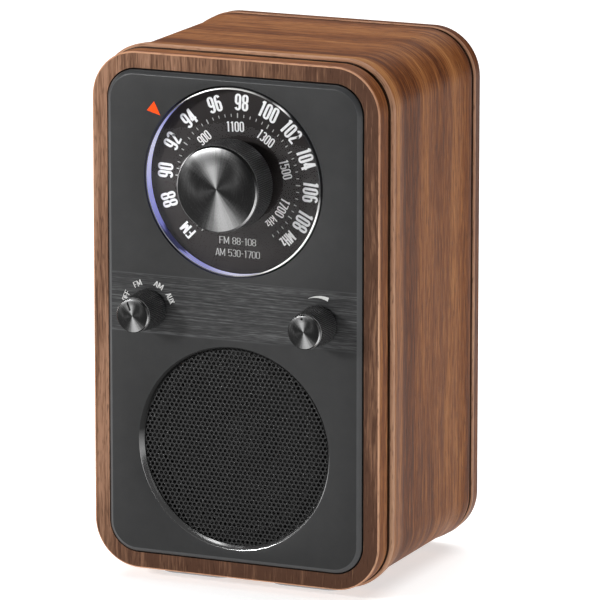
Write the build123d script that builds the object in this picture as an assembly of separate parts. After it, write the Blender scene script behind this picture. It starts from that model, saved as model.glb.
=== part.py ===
from build123d import *
import os
from math import acos, cos, pi, radians, sin, tan

# Tabletop radio in a veneered wooden cabinet.
# Modelling frame: x = 0 on the centre line, y = 0 on the wooden front face with +y to the rear,
# z = 0 at the lower edge of the front face outline. Every piece is moved into the part's own
# frame (feet on z = 0, y = 0 half way between knob and antenna socket) when it is written.
# "Out" distances are measured outwards from the front face outline.

# ---- cabinet ----
FACE_WIDTH = 112.0
FACE_HEIGHT = 191.0
FACE_RADIUS = 17.0
CABINET_DEPTH = 93.5
CABINET_MID_Z = FACE_HEIGHT / 2
WALL_IN = -9.0
OPENING_IN = -5.5
FRONT_SEAM_Y = 8.6
REAR_SEAM_Y = 86.0
GROOVE_OUT = -0.6
BAND_OUT = 0.5
WAIST_OUT = 0.45
FRONT_LIP_OUT = 1.75
FRONT_LIP_RADIUS = 1.3
REAR_SWELL_OUT = 1.15
REAR_LIP_OUT = 1.3
REAR_LIP_RADIUS = 1.1
EDGE_RADIUS = 0.6
BLOCK_SIZE = 14.0
BLOCK_DEPTH = 10.0
FRONT_LAND_END_Y = 7.8
FRONT_EASE = 0.3

# ---- screws (M3 at the corners, smaller ones inside) ----
CORNER_SCREW_X = 40.5
CORNER_SCREW_DZ = 80.0
CORNER_SCREW_RADIUS = 1.5
CORNER_HEAD_RADIUS = 2.9
CORNER_HOLE_RADIUS = 1.6
CORNER_POST_RADIUS = 3.5
PANEL_SCREW_TIP_Y = 3.4
REAR_SCREW_LENGTH = 13.0
SMALL_SCREW_RADIUS = 1.3
SMALL_HEAD_RADIUS = 2.4
SMALL_HEAD_HEIGHT = 1.6
SMALL_HOLE_RADIUS = 1.4
SMALL_POST_RADIUS = 3.0
SMALL_SCREW_LENGTH = 7.0
SPEAKER_SCREW_RADIUS = 1.2
SPEAKER_SCREW_LENGTH = 5.0
DRIVE_SLOT_WIDTH = 0.6
DRIVE_SLOT_DEPTH = 0.5

# ---- front panel ----
PANEL_IN = -6.0
PANEL_FRONT_Y = -1.6
PANEL_BACK_Y = 1.4
PANEL_CHAMFER_WIDTH = 1.6
PANEL_CHAMFER_DEPTH = 1.2
SKIRT = 2.2
WELL_WALL = 2.0
CUT_MARGIN = 1.0

# ---- dial and its gears (module 0.5, four knob turns to one dial turn) ----
DIAL_Z = 146.85
DIAL_HOLE_RADIUS = 35.0
DIAL_RADIUS = 34.7
LENS_FRONT_Y = -2.0
LENS_BACK_Y = 3.7
LENS_CHAMFER = 0.5
DIAL_PLATE_BACK_Y = 4.7
WELL_BACK_Y = 6.0
GEAR_MODULE = 0.5
PINION_TEETH = 14
IDLER_LARGE_TEETH = 42
IDLER_SMALL_TEETH = 24
DIAL_TEETH = 32
POT_TEETH = 32
PRESSURE_ANGLE = radians(20)
TOOTH_THINNING = 0.05
SLEEVE_RADIUS = 4.0
SHAFT_RADIUS = 2.5
JOURNAL_RADIUS = 2.0
RUNNING_GAP = 0.05
GEAR_PLATE_FRONT_Y = 13.2
GEAR_PLATE_BACK_Y = 15.2
GEAR_PLATE_HALF_WIDTH = 45.0
GEAR_PLATE_HALF_HEIGHT = 20.4
STANDOFF_X = 40.0
STANDOFF_DZ = 17.0
HUB_FRONT_Y = -1.2
HUB_DISC_RADIUS = 13.0
HUB_DISC_BACK_Y = 6.0
HUB_STEP_RADIUS = 6.0
DIAL_GEAR_FRONT_Y = 6.4
DIAL_GEAR_BACK_Y = 9.2
SMALL_GEAR_FRONT_Y = 6.6
SMALL_GEAR_BACK_Y = 9.0
LARGE_GEAR_FRONT_Y = 10.2
LARGE_GEAR_BACK_Y = 12.6
IDLER_WAIST_RADIUS = 5.0
IDLER_PIN_RADIUS = 1.5
IDLER_PIN_FRONT_Y = 6.3
TUNING_SHAFT_FRONT_Y = -11.0
PINION_FRONT_Y = 10.0
PINION_BACK_Y = 12.8
TUNING_SHAFT_END_Y = 17.0
CLIP_FRONT_Y = 15.7
CLIP_BACK_Y = 16.2
CLIP_GROOVE_RADIUS = 1.6
CLIP_RADIUS = 3.4
CLIP_MOUTH = 1.2
CLIP_MOUTH_TOP = 0.8
TUNING_POT_RADIUS = 8.0
TUNING_POT_BACK_Y = 22.0
TUNING_POT_THREAD_Y = 11.2
TUNING_POT_BORE_END_Y = 20.2
POT_SHAFT_FRONT_Y = 6.4
POT_SHAFT_END_Y = 19.9
POT_NUT_FRONT_Y = 11.6
POT_NUT_HALF_FLATS = 4.5
IDLER_X = (PINION_TEETH + IDLER_LARGE_TEETH) * GEAR_MODULE / 2
POT_X = -(DIAL_TEETH + POT_TEETH) * GEAR_MODULE / 2

# ---- knobs ----
TUNING_KNOB_RADIUS = 16.2
TUNING_CAP_RADIUS = 15.85
TUNING_KNOB_FRONT_Y = -16.0
TUNING_KNOB_BACK_Y = -2.4
CONTROL_Z = 97.65
CONTROL_X = 33.7
SMALL_KNOB_FRONT_Y = -15.5
SMALL_KNOB_BACK_Y = -2.2
SMALL_KNOB_FRONT_RADIUS = 6.55
SMALL_KNOB_BACK_RADIUS = 7.3
CAP_CHAMFER = 0.5
CAP_THICKNESS = 1.2
KNOB_EDGE = 0.3
TUNING_HOLLOW_RADIUS = 13.6
TUNING_HOLLOW_DEPTH = 9.0
TUNING_BOSS_RADIUS = 5.0
SMALL_HOLLOW_RADIUS = 6.1
SMALL_HOLLOW_DEPTH = 4.8
BUSHING_RADIUS = 3.5
BUSHING_FRONT_Y = -6.0
BUSHING_HOLE_GAP = 0.1
CONTROL_SHAFT_RADIUS = 3.0
CONTROL_SHAFT_FRONT_Y = -12.5
VOLUME_SHAFT_END_Y = 7.8
SELECTOR_SHAFT_END_Y = 8.8
SHAFT_END_GAP = 0.2
VOLUME_POT_RADIUS = 8.5
VOLUME_POT_BACK_Y = 9.6
SELECTOR_HALF_SIZE = 9.0
SELECTOR_BACK_Y = 12.0
CONTROL_NUT_HALF_FLATS = 5.0
CONTROL_NUT_THICKNESS = 2.0
WASHER_RADIUS = 5.6
WASHER_THICKNESS = 0.4

# ---- loudspeaker (three inch class) ----
SPEAKER_Z = 48.5
RIM_RADIUS = 37.8
GRILLE_VIEW_RADIUS = 35.8
GRILLE_RADIUS = 37.4
GRILLE_FRONT_Y = 0.6
GASKET_BACK_Y = 4.4
FLANGE_RADIUS = 39.5
FLANGE_BACK_Y = 5.6
EAR_REACH = 41.5
EAR_RADIUS = 3.6
CONE_EDGE_RADIUS = 30.0
CONE_NECK_FRONT_Y = 15.2
CONE_PAPER = 1.0
COIL_RADIUS = 10.5
COIL_GAP = 0.7
COIL_FRONT_Y = 23.5
COIL_BACK_Y = 28.0
FORMER_BACK_Y = 29.0
POLE_RADIUS = 9.8
MAGNET_RADIUS = 22.5
MAGNET_HOLE_RADIUS = 12.5
MAGNET_PLATE_RADIUS = 20.0
MAGNET_FRONT_Y = 27.2
MAGNET_BACK_Y = 35.2
MAGNET_PLATE_THICKNESS = 3.0
GASKET_INNER_RADIUS = 36.2
BASKET_STEEL = 1.2
BASKET_LIP_RADIUS = 36.5
BASKET_FLOOR_RADIUS = 27.0
BASKET_FLOOR_Y = 17.0
BASKET_NECK_RADIUS = 19.0
BASKET_SEAT_Y = 23.0
BASKET_SEAT_HOLE = 11.2
WINDOW_HALF_WIDTH = 11.0
WINDOW_FRONT_Y = 7.6
WINDOW_BACK_Y = 15.4
SURROUND_INNER_RADIUS = 28.6
SURROUND_OUTER_RADIUS = 36.0
SURROUND_SHEET = 0.5
SURROUND_ROLL = 2.0
SPIDER_RADIUS = 22.0
SPIDER_FRONT_Y = 16.5
DUST_CAP_RADIUS = 10.4
DUST_CAP_HEIGHT = 3.8
DUST_CAP_FRONT_Y = 11.3
DUST_CAP_PAPER = 0.7

# ---- rear cover, circuit board and sockets ----
COVER_FRONT_Y = 89.5
COVER_BACK_Y = 92.0
BOARD_FRONT_Y = 72.0
BOARD_BACK_Y = 73.6
BOARD_HALF_WIDTH = 41.0
BOARD_LOW_Z = 18.0
BOARD_HIGH_Z = 156.0
BOARD_SCREW_X = 37.0
BOARD_SCREW_LOW_Z = 43.0
BOARD_SCREW_HIGH_Z = 152.0
HEATSINK_HALF_WIDTH = 14.0
HEATSINK_LOW_Z = 78.0
HEATSINK_HIGH_Z = 98.0
HEATSINK_FRONT_Y = 60.0
HEATSINK_BASE_Y = 68.5
CHIP_FRONT_Y = 70.6
AMPLIFIER_FRONT_Y = 70.0
FIN_COUNT = 8
FIN_PITCH = 3.8
FIN_THICKNESS = 1.4
SOCKET_Z = 30.0
DC_X = -30.0
AUX_X = -10.0
PHONES_X = 10.0
ANTENNA_X = 30.0
PLUG_BORE_RADIUS = 1.8
PLUG_BORE_LENGTH = 14.0
PLUG_NOSE_RADIUS = 3.5
PLUG_NOSE_REACH = 0.6
PLUG_HALF_WIDTH = 6.0
PLUG_HALF_HEIGHT = 5.0
DC_HALF_SIZE = 6.0
DC_NOSE_RADIUS = 4.5
DC_NOSE_REACH = 0.4
DC_BORE_RADIUS = 2.9
DC_BORE_DEPTH = 9.6
DC_PIN_RADIUS = 1.0
SOCKET_BODY_END_Y = 88.0
SOCKET_HOLE_GAP = 0.1
ANTENNA_HALF_SIZE = 7.0
ANTENNA_COLLAR_RADIUS = 5.4
ANTENNA_COLLAR_REACH = 0.8
ANTENNA_MOUTH_RADIUS = 3.6
ANTENNA_MOUTH_DEPTH = 1.5
ANTENNA_PIN_HOLE_RADIUS = 0.6
ANTENNA_PIN_HOLE_DEPTH = 9.0
THREAD_RADIUS = 4.75
THREAD_END_Y = 99.5
VENT_ROWS = 9
VENT_X = 11.0
VENT_LOW_Z = 120.0
VENT_PITCH = 4.4
VENT_LENGTH = 16.0
VENT_WIDTH = 1.8
ROD_Z = 146.0
ROD_Y = 62.0
ROD_RADIUS = 4.0
ROD_LENGTH = 74.0
COIL_WINDING_RADIUS = 5.2
COIL_WINDING_LENGTH = 30.0
COIL_WINDING_X = 8.0
CLIP_X = 30.0
CLIP_HALF_WIDTH = 2.5
CLIP_HALF_HEIGHT = 6.0
CLIP_FRONT_REACH = 3.0

# ---- feet ----
FOOT_LENGTH = 30.0
FOOT_WIDTH = 13.0
FOOT_EDGE = 0.6
FOOT_BOTTOM_Z = -4.3
FOOT_TOP_Z = 0.6
FOOT_X = 22.0
FRONT_FOOT_Y = 17.5
REAR_FOOT_Y = 76.0

ORIGIN_Y = (TUNING_KNOB_FRONT_Y + THREAD_END_Y) / 2
TO_PART_FRAME = Pos(0, -ORIGIN_Y, -FOOT_BOTTOM_Z)


# ---- building helpers ----
def prism(outline, front_y, back_y):
    """Extrude a flat outline, drawn as (x, z), from front_y to back_y."""
    plane = Plane(origin=(0, back_y, 0), x_dir=(1, 0, 0), z_dir=(0, -1, 0))
    return extrude(plane * outline, amount=back_y - front_y)


def disc(radius, front_y, back_y, x=0.0, z=0.0):
    return prism(Pos(x, z) * Circle(radius), front_y, back_y)


def tube(outer, inner, front_y, back_y, x=0.0, z=0.0):
    return prism(Pos(x, z) * (Circle(outer) - Circle(inner)), front_y, back_y)


def block(x_range, y_range, z_range):
    size = [high - low for low, high in (x_range, y_range, z_range)]
    middle = [(high + low) / 2 for low, high in (x_range, y_range, z_range)]
    return Pos(*middle) * Box(*size)


def turned(points, x=0.0, z=0.0):
    """Turn a closed outline of (radius, y) points about an axis along Y."""
    outline = make_face(Polyline(*points, close=True))
    return Pos(x, 0, z) * revolve(outline, axis=Axis.Y)


def face_outline(out):
    """The rounded front face outline, moved outwards by a distance."""
    size = (FACE_WIDTH + 2 * out, FACE_HEIGHT + 2 * out)
    return Pos(0, CABINET_MID_Z) * RectangleRounded(*size, FACE_RADIUS + out)


def cabinet_ring(section):
    """Carry a section, drawn as (out, y), once around the front face outline."""
    half_width = FACE_WIDTH / 2
    straight_side = FACE_HEIGHT - 2 * FACE_RADIUS
    straight_top = FACE_WIDTH - 2 * FACE_RADIUS
    side = extrude(Pos(half_width, 0, FACE_RADIUS) * section, amount=straight_side)
    corner = revolve(Pos(FACE_RADIUS, 0, 0) * section, axis=Axis.Y, revolution_arc=90)
    corner = Pos(half_width - FACE_RADIUS, 0, FACE_RADIUS) * corner
    upright = Pos(-straight_top / 2, 0, 0) * Rot(0, 90, 0) * section
    bottom = extrude(upright, amount=straight_top)
    pieces = [side, mirror(side, about=Plane.YZ)]
    middle_plane = Plane.XY.offset(CABINET_MID_Z)
    pieces += [bottom, mirror(bottom, about=middle_plane)]
    for quarter in (corner, mirror(corner, about=Plane.YZ)):
        pieces += [quarter, mirror(quarter, about=middle_plane)]
    return pieces[0].fuse(*pieces[1:]).clean()


def corner_points(dx, dz, z_mid):
    return [(sx * dx, z_mid + sz * dz) for sx in (-1, 1) for sz in (-1, 1)]


def involute(angle):
    return tan(angle) - angle


def gear_outline(teeth, first_tooth=0.0):
    """Involute teeth, with one tooth centred on the angle first_tooth (degrees from +x to +z)."""
    pitch_radius = teeth * GEAR_MODULE / 2
    base_radius = pitch_radius * cos(PRESSURE_ANGLE)
    root_radius = pitch_radius - 1.25 * GEAR_MODULE
    tip_radius = pitch_radius + 0.9 * GEAR_MODULE
    half_tooth = pi / (2 * teeth) - TOOTH_THINNING / (2 * pitch_radius)
    start_radius = max(base_radius, root_radius)
    flank = []
    for step in range(5):
        radius = start_radius + (tip_radius - start_radius) * step / 4
        rolled = acos(min(1.0, base_radius / radius))
        flank.append((radius, half_tooth + involute(PRESSURE_ANGLE) - involute(rolled)))
    flank.insert(0, (root_radius, flank[0][1] + 0.01))
    points = []
    for tooth in range(teeth):
        middle = radians(first_tooth) + 2 * pi * tooth / teeth
        points += [(r * cos(middle - a), r * sin(middle - a)) for r, a in flank]
        points += [(r * cos(middle + a), r * sin(middle + a)) for r, a in reversed(flank)]
    return make_face(Polyline(*points, close=True))


# ---- wooden cabinet ----
def front_frame():
    """Front ring of the cabinet, which frames the panel."""
    ease_y = FRONT_LAND_END_Y - FRONT_EASE
    section = make_face(
        Line((OPENING_IN, 0), (BAND_OUT - EDGE_RADIUS, 0))
        + TangentArc((BAND_OUT - EDGE_RADIUS, 0), (BAND_OUT, EDGE_RADIUS), tangent=(1, 0))
        + Line((BAND_OUT, EDGE_RADIUS), (BAND_OUT, ease_y))
        + Line((BAND_OUT, ease_y), (BAND_OUT - FRONT_EASE, FRONT_LAND_END_Y))
        + Line((BAND_OUT - FRONT_EASE, FRONT_LAND_END_Y), (GROOVE_OUT, FRONT_LAND_END_Y))
        + Line((GROOVE_OUT, FRONT_LAND_END_Y), (GROOVE_OUT, FRONT_SEAM_Y))
        + Line((GROOVE_OUT, FRONT_SEAM_Y), (OPENING_IN, FRONT_SEAM_Y))
        + Line((OPENING_IN, FRONT_SEAM_Y), (OPENING_IN, 0))
    )
    return cabinet_ring(section)


def foot_outline(x, y):
    return Pos(x, y) * SlotOverall(FOOT_LENGTH, FOOT_WIDTH)


def foot_places():
    return [(sx * FOOT_X, y) for sx in (-1, 1) for y in (FRONT_FOOT_Y, REAR_FOOT_Y)]


def cabinet_body():
    """Wrapped wooden sleeve with a rounded front lip and a gently waisted side."""
    lip_y = 9.1
    crest_y = lip_y + FRONT_LIP_RADIUS
    shoulder_out = FRONT_LIP_OUT - FRONT_LIP_RADIUS
    waist_start_y = 25.0
    waist_end_y = 74.0
    swell_y = 84.3
    swell_end_y = 85.1
    front_ease = ((crest_y + waist_start_y) / 2, (FRONT_LIP_OUT + WAIST_OUT) / 2)
    rear_ease = ((waist_end_y + swell_y) / 2, (WAIST_OUT + REAR_SWELL_OUT) / 2)
    rear_drop_out = REAR_SWELL_OUT - (swell_end_y - swell_y)
    outline = Line((WALL_IN, FRONT_SEAM_Y), (GROOVE_OUT, FRONT_SEAM_Y))
    outline += Line((GROOVE_OUT, FRONT_SEAM_Y), (GROOVE_OUT, lip_y))
    outline += Line((GROOVE_OUT, lip_y), (shoulder_out, lip_y))
    outline += TangentArc((shoulder_out, lip_y), (FRONT_LIP_OUT, crest_y), tangent=(1, 0))
    outline += TangentArc((FRONT_LIP_OUT, crest_y), front_ease[::-1], tangent=(0, 1))
    outline += TangentArc((WAIST_OUT, waist_start_y), front_ease[::-1], tangent=(0, -1))
    outline += Line((WAIST_OUT, waist_start_y), (WAIST_OUT, waist_end_y))
    outline += TangentArc((WAIST_OUT, waist_end_y), rear_ease[::-1], tangent=(0, 1))
    outline += TangentArc((REAR_SWELL_OUT, swell_y), rear_ease[::-1], tangent=(0, -1))
    outline += TangentArc((REAR_SWELL_OUT, swell_y), (rear_drop_out, swell_end_y), tangent=(0, 1))
    outline += Line((rear_drop_out, swell_end_y), (GROOVE_OUT, swell_end_y))
    outline += Line((GROOVE_OUT, swell_end_y), (GROOVE_OUT, REAR_SEAM_Y))
    outline += Line((GROOVE_OUT, REAR_SEAM_Y), (WALL_IN, REAR_SEAM_Y))
    outline += Line((WALL_IN, REAR_SEAM_Y), (WALL_IN, FRONT_SEAM_Y))
    body = cabinet_ring(make_face(outline))
    for x, y in foot_places():
        pocket = extrude(Pos(0, 0, FOOT_BOTTOM_Z) * foot_outline(x, y), amount=FOOT_TOP_Z - FOOT_BOTTOM_Z)
        body -= pocket
    return body


def rear_frame():
    """Rear ring of the cabinet, around the rear cover."""
    lip_y = 86.6
    crest_y = lip_y + REAR_LIP_RADIUS
    shoulder_out = REAR_LIP_OUT - REAR_LIP_RADIUS
    band_out = 1.0
    band_y = 89.5
    edge = 0.8
    outline = Line((OPENING_IN, REAR_SEAM_Y), (GROOVE_OUT, REAR_SEAM_Y))
    outline += Line((GROOVE_OUT, REAR_SEAM_Y), (GROOVE_OUT, lip_y))
    outline += Line((GROOVE_OUT, lip_y), (shoulder_out, lip_y))
    outline += TangentArc((shoulder_out, lip_y), (REAR_LIP_OUT, crest_y), tangent=(1, 0))
    outline += Line((REAR_LIP_OUT, crest_y), (band_out, band_y))
    outline += Line((band_out, band_y), (band_out, CABINET_DEPTH - edge))
    outline += TangentArc((band_out, CABINET_DEPTH - edge), (band_out - edge, CABINET_DEPTH), tangent=(0, 1))
    outline += Line((band_out - edge, CABINET_DEPTH), (OPENING_IN, CABINET_DEPTH))
    outline += Line((OPENING_IN, CABINET_DEPTH), (OPENING_IN, REAR_SEAM_Y))
    return cabinet_ring(make_face(outline))


def corner_blocks():
    """Eight glued wooden blocks inside the cabinet corners, which take the long screws."""
    wall_x = FACE_WIDTH / 2 + WALL_IN
    wall_z = FACE_HEIGHT / 2 + WALL_IN
    inner_outline = face_outline(WALL_IN)
    solids = []
    for front_y in (FRONT_SEAM_Y, REAR_SEAM_Y - BLOCK_DEPTH):
        for x, z in corner_points(wall_x - BLOCK_SIZE / 2, wall_z - BLOCK_SIZE / 2, CABINET_MID_Z):
            square = Pos(x, z) * Rectangle(BLOCK_SIZE, BLOCK_SIZE)
            solids.append(prism(square & inner_outline, front_y, front_y + BLOCK_DEPTH))
    holes = [disc(CORNER_HOLE_RADIUS, 0, CABINET_DEPTH, x, z) for x, z in screw_corners()]
    drilled = []
    for solid in solids:
        for hole in holes:
            solid -= hole
        drilled.append(solid)
    return drilled


def screw_corners():
    return corner_points(CORNER_SCREW_X, CORNER_SCREW_DZ, CABINET_MID_Z)


def feet():
    solids = []
    for x, y in foot_places():
        pad = extrude(Pos(0, 0, FOOT_BOTTOM_Z) * foot_outline(x, y), amount=FOOT_TOP_Z - FOOT_BOTTOM_Z)
        bottom_edges = pad.faces().sort_by(Axis.Z)[0].edges()
        solids.append(chamfer(bottom_edges, FOOT_EDGE))
    return solids


# ---- screws ----
def pan_screw(radius, head_radius, head_height, length, x, z, head_seat_y, forwards):
    """A screw along Y: the head sits on head_seat_y, and the shank points forwards or to the rear."""
    shank_end = head_seat_y - length if forwards else head_seat_y + length
    head_end = head_seat_y + head_height if forwards else head_seat_y - head_height
    shank = disc(radius, min(shank_end, head_seat_y), max(shank_end, head_seat_y), x, z)
    head = disc(head_radius, min(head_end, head_seat_y), max(head_end, head_seat_y), x, z)
    reach = head_radius * 0.55
    half_slot = DRIVE_SLOT_WIDTH / 2
    depth = (head_end - DRIVE_SLOT_DEPTH, head_end + DRIVE_SLOT_DEPTH)
    slot = block((x - reach, x + reach), depth, (z - half_slot, z + half_slot))
    cross = block((x - half_slot, x + half_slot), depth, (z - reach, z + reach))
    return shank + head - slot - cross


def small_screw(x, z, seat_y, forwards):
    return pan_screw(
        SMALL_SCREW_RADIUS, SMALL_HEAD_RADIUS, SMALL_HEAD_HEIGHT, SMALL_SCREW_LENGTH, x, z, seat_y, forwards
    )


def panel_screws():
    seat = FRONT_SEAM_Y + BLOCK_DEPTH
    length = seat - PANEL_SCREW_TIP_Y
    size = (CORNER_SCREW_RADIUS, CORNER_HEAD_RADIUS, 2.0)
    return [pan_screw(*size, length, x, z, seat, True) for x, z in screw_corners()]


def rear_screws():
    size = (CORNER_SCREW_RADIUS, CORNER_HEAD_RADIUS, 1.8)
    return [pan_screw(*size, REAR_SCREW_LENGTH, x, z, COVER_BACK_Y, True) for x, z in screw_corners()]


def speaker_ears():
    reach = EAR_REACH * cos(radians(45))
    return corner_points(reach, reach, SPEAKER_Z)


def speaker_screws():
    size = (SPEAKER_SCREW_RADIUS, SMALL_HEAD_RADIUS, SMALL_HEAD_HEIGHT, SPEAKER_SCREW_LENGTH)
    return [pan_screw(*size, x, z, FLANGE_BACK_Y, True) for x, z in speaker_ears()]


def standoff_places():
    return corner_points(STANDOFF_X, STANDOFF_DZ, DIAL_Z)


def gear_plate_screws():
    return [small_screw(x, z, GEAR_PLATE_BACK_Y, True) for x, z in standoff_places()]


def board_screws():
    return [small_screw(x, z, BOARD_FRONT_Y, False) for x, z in board_screw_places()]


# ---- front panel ----
def front_panel():
    outline = face_outline(PANEL_IN)
    panel = prism(outline, PANEL_FRONT_Y, PANEL_BACK_Y)
    front_face = panel.faces().sort_by(Axis.Y)[0]
    front_edges = front_face.edges()
    panel = chamfer(front_edges, PANEL_CHAMFER_WIDTH, PANEL_CHAMFER_DEPTH, reference=front_face)
    panel += prism(outline - face_outline(PANEL_IN - SKIRT), PANEL_BACK_Y, FRONT_SEAM_Y)
    panel += tube(DIAL_HOLE_RADIUS + WELL_WALL, DIAL_HOLE_RADIUS, PANEL_BACK_Y, WELL_BACK_Y, z=DIAL_Z)
    for x, z in screw_corners():
        panel += disc(CORNER_POST_RADIUS, PANEL_BACK_Y, FRONT_SEAM_Y, x, z)
    for x, z in standoff_places():
        panel += disc(SMALL_POST_RADIUS, PANEL_BACK_Y, GEAR_PLATE_FRONT_Y, x, z)
    for x, z in speaker_ears():
        panel += disc(SMALL_POST_RADIUS, PANEL_BACK_Y, GASKET_BACK_Y, x, z)
    panel -= disc(DIAL_HOLE_RADIUS, PANEL_FRONT_Y - CUT_MARGIN, WELL_BACK_Y, z=DIAL_Z)
    lead = 0.1
    rim = [
        (0, PANEL_FRONT_Y - lead),
        (RIM_RADIUS + lead, PANEL_FRONT_Y - lead),
        (GRILLE_VIEW_RADIUS, GRILLE_FRONT_Y - 2 * lead),
        (GRILLE_VIEW_RADIUS, GRILLE_FRONT_Y),
        (GRILLE_RADIUS, GRILLE_FRONT_Y),
        (GRILLE_RADIUS, PANEL_BACK_Y),
        (0, PANEL_BACK_Y),
    ]
    panel -= turned(rim, z=SPEAKER_Z)
    hole_radius = BUSHING_RADIUS + BUSHING_HOLE_GAP
    for side in (-1, 1):
        panel -= disc(hole_radius, PANEL_FRONT_Y - CUT_MARGIN, PANEL_BACK_Y, side * CONTROL_X, CONTROL_Z)
    for x, z in screw_corners():
        panel -= disc(CORNER_SCREW_RADIUS, PANEL_SCREW_TIP_Y, FRONT_SEAM_Y, x, z)
    for x, z in standoff_places():
        panel -= disc(SMALL_SCREW_RADIUS, GEAR_PLATE_BACK_Y - SMALL_SCREW_LENGTH, GEAR_PLATE_FRONT_Y, x, z)
    for x, z in speaker_ears():
        panel -= disc(SPEAKER_SCREW_RADIUS, FLANGE_BACK_Y - SPEAKER_SCREW_LENGTH, GASKET_BACK_Y, x, z)
    return panel


# ---- dial ----
def dial_lens():
    lens = tube(DIAL_RADIUS, SLEEVE_RADIUS, LENS_FRONT_Y, LENS_BACK_Y)
    outer_edge = lens.faces().sort_by(Axis.Y)[0].edges().sort_by(SortBy.LENGTH)[-1]
    return Pos(0, 0, DIAL_Z) * chamfer(outer_edge, LENS_CHAMFER)


def dial_plate():
    return tube(DIAL_RADIUS, SLEEVE_RADIUS, LENS_BACK_Y, DIAL_PLATE_BACK_Y, z=DIAL_Z)


def dial_gear():
    """Hub that carries the dial, with the large gear behind it, turning on the tuning shaft."""
    hub = disc(SLEEVE_RADIUS, HUB_FRONT_Y, DIAL_GEAR_BACK_Y)
    hub += disc(HUB_DISC_RADIUS, DIAL_PLATE_BACK_Y, HUB_DISC_BACK_Y)
    hub += disc(HUB_STEP_RADIUS, HUB_DISC_BACK_Y, DIAL_GEAR_FRONT_Y)
    hub += prism(gear_outline(DIAL_TEETH), DIAL_GEAR_FRONT_Y, DIAL_GEAR_BACK_Y)
    hub -= disc(SHAFT_RADIUS + RUNNING_GAP, HUB_FRONT_Y - CUT_MARGIN, DIAL_GEAR_BACK_Y + CUT_MARGIN)
    return Pos(0, 0, DIAL_Z) * hub


def idler_gear():
    """Compound gear beside the dial gear: the knob's pinion drives its large teeth."""
    small = gear_outline(IDLER_SMALL_TEETH, 180 + 180 / IDLER_SMALL_TEETH)
    large = gear_outline(IDLER_LARGE_TEETH, 180 + 180 / IDLER_LARGE_TEETH)
    gear = prism(small, SMALL_GEAR_FRONT_Y, SMALL_GEAR_BACK_Y)
    gear += disc(IDLER_WAIST_RADIUS, SMALL_GEAR_BACK_Y, LARGE_GEAR_FRONT_Y)
    gear += prism(large, LARGE_GEAR_FRONT_Y, LARGE_GEAR_BACK_Y)
    bore = IDLER_PIN_RADIUS + RUNNING_GAP
    gear -= disc(bore, SMALL_GEAR_FRONT_Y - CUT_MARGIN, LARGE_GEAR_BACK_Y + CUT_MARGIN)
    return Pos(IDLER_X, 0, DIAL_Z) * gear


def idler_pin():
    return disc(IDLER_PIN_RADIUS, IDLER_PIN_FRONT_Y, GEAR_PLATE_BACK_Y, IDLER_X, DIAL_Z)


def tuning_shaft():
    """Steel shaft with the pinion cut on it and a groove for its retaining clip."""
    shaft = disc(SHAFT_RADIUS, TUNING_SHAFT_FRONT_Y, PINION_FRONT_Y)
    shaft += prism(gear_outline(PINION_TEETH), PINION_FRONT_Y, PINION_BACK_Y)
    shaft += disc(JOURNAL_RADIUS, PINION_BACK_Y, TUNING_SHAFT_END_Y)
    shaft -= tube(JOURNAL_RADIUS + CUT_MARGIN, CLIP_GROOVE_RADIUS, CLIP_FRONT_Y, CLIP_BACK_Y)
    return Pos(0, 0, DIAL_Z) * shaft


def shaft_clip():
    clip = tube(CLIP_RADIUS, CLIP_GROOVE_RADIUS, CLIP_FRONT_Y, CLIP_BACK_Y, z=DIAL_Z)
    depth = (CLIP_FRONT_Y - CUT_MARGIN, CLIP_BACK_Y + CUT_MARGIN)
    mouth_z = (DIAL_Z - CLIP_RADIUS - CUT_MARGIN, DIAL_Z - CLIP_MOUTH_TOP)
    return clip - block((-CLIP_MOUTH, CLIP_MOUTH), depth, mouth_z)


def gear_plate():
    plate = RectangleRounded(2 * GEAR_PLATE_HALF_WIDTH, 2 * GEAR_PLATE_HALF_HEIGHT, 3)
    plate -= Circle(JOURNAL_RADIUS + RUNNING_GAP)
    plate -= Pos(IDLER_X, 0) * Circle(IDLER_PIN_RADIUS)
    plate -= Pos(POT_X, 0) * Circle(BUSHING_RADIUS)
    for x, z in corner_points(STANDOFF_X, STANDOFF_DZ, 0):
        plate -= Pos(x, z) * Circle(SMALL_HOLE_RADIUS)
    return prism(Pos(0, DIAL_Z) * plate, GEAR_PLATE_FRONT_Y, GEAR_PLATE_BACK_Y)


def tuning_pot():
    """Tuning potentiometer behind the gear plate, with its terminal board below."""
    body = disc(TUNING_POT_RADIUS, GEAR_PLATE_BACK_Y, TUNING_POT_BACK_Y)
    body += disc(BUSHING_RADIUS, TUNING_POT_THREAD_Y, GEAR_PLATE_BACK_Y)
    body += block((-6, 6), (17, 18.2), (-13, -4))
    body -= disc(JOURNAL_RADIUS + RUNNING_GAP, TUNING_POT_THREAD_Y - CUT_MARGIN, TUNING_POT_BORE_END_Y)
    return Pos(POT_X, 0, DIAL_Z) * body


def tuning_pot_nut():
    nut = RegularPolygon(POT_NUT_HALF_FLATS, 6, major_radius=False) - Circle(BUSHING_RADIUS)
    return prism(Pos(POT_X, DIAL_Z) * nut, POT_NUT_FRONT_Y, GEAR_PLATE_FRONT_Y)


def pot_shaft():
    return disc(JOURNAL_RADIUS, POT_SHAFT_FRONT_Y, POT_SHAFT_END_Y, POT_X, DIAL_Z)


def pot_gear():
    outline = gear_outline(POT_TEETH, 180 / POT_TEETH) - Circle(JOURNAL_RADIUS)
    return prism(Pos(POT_X, DIAL_Z) * outline, SMALL_GEAR_FRONT_Y, SMALL_GEAR_BACK_Y)


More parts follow.
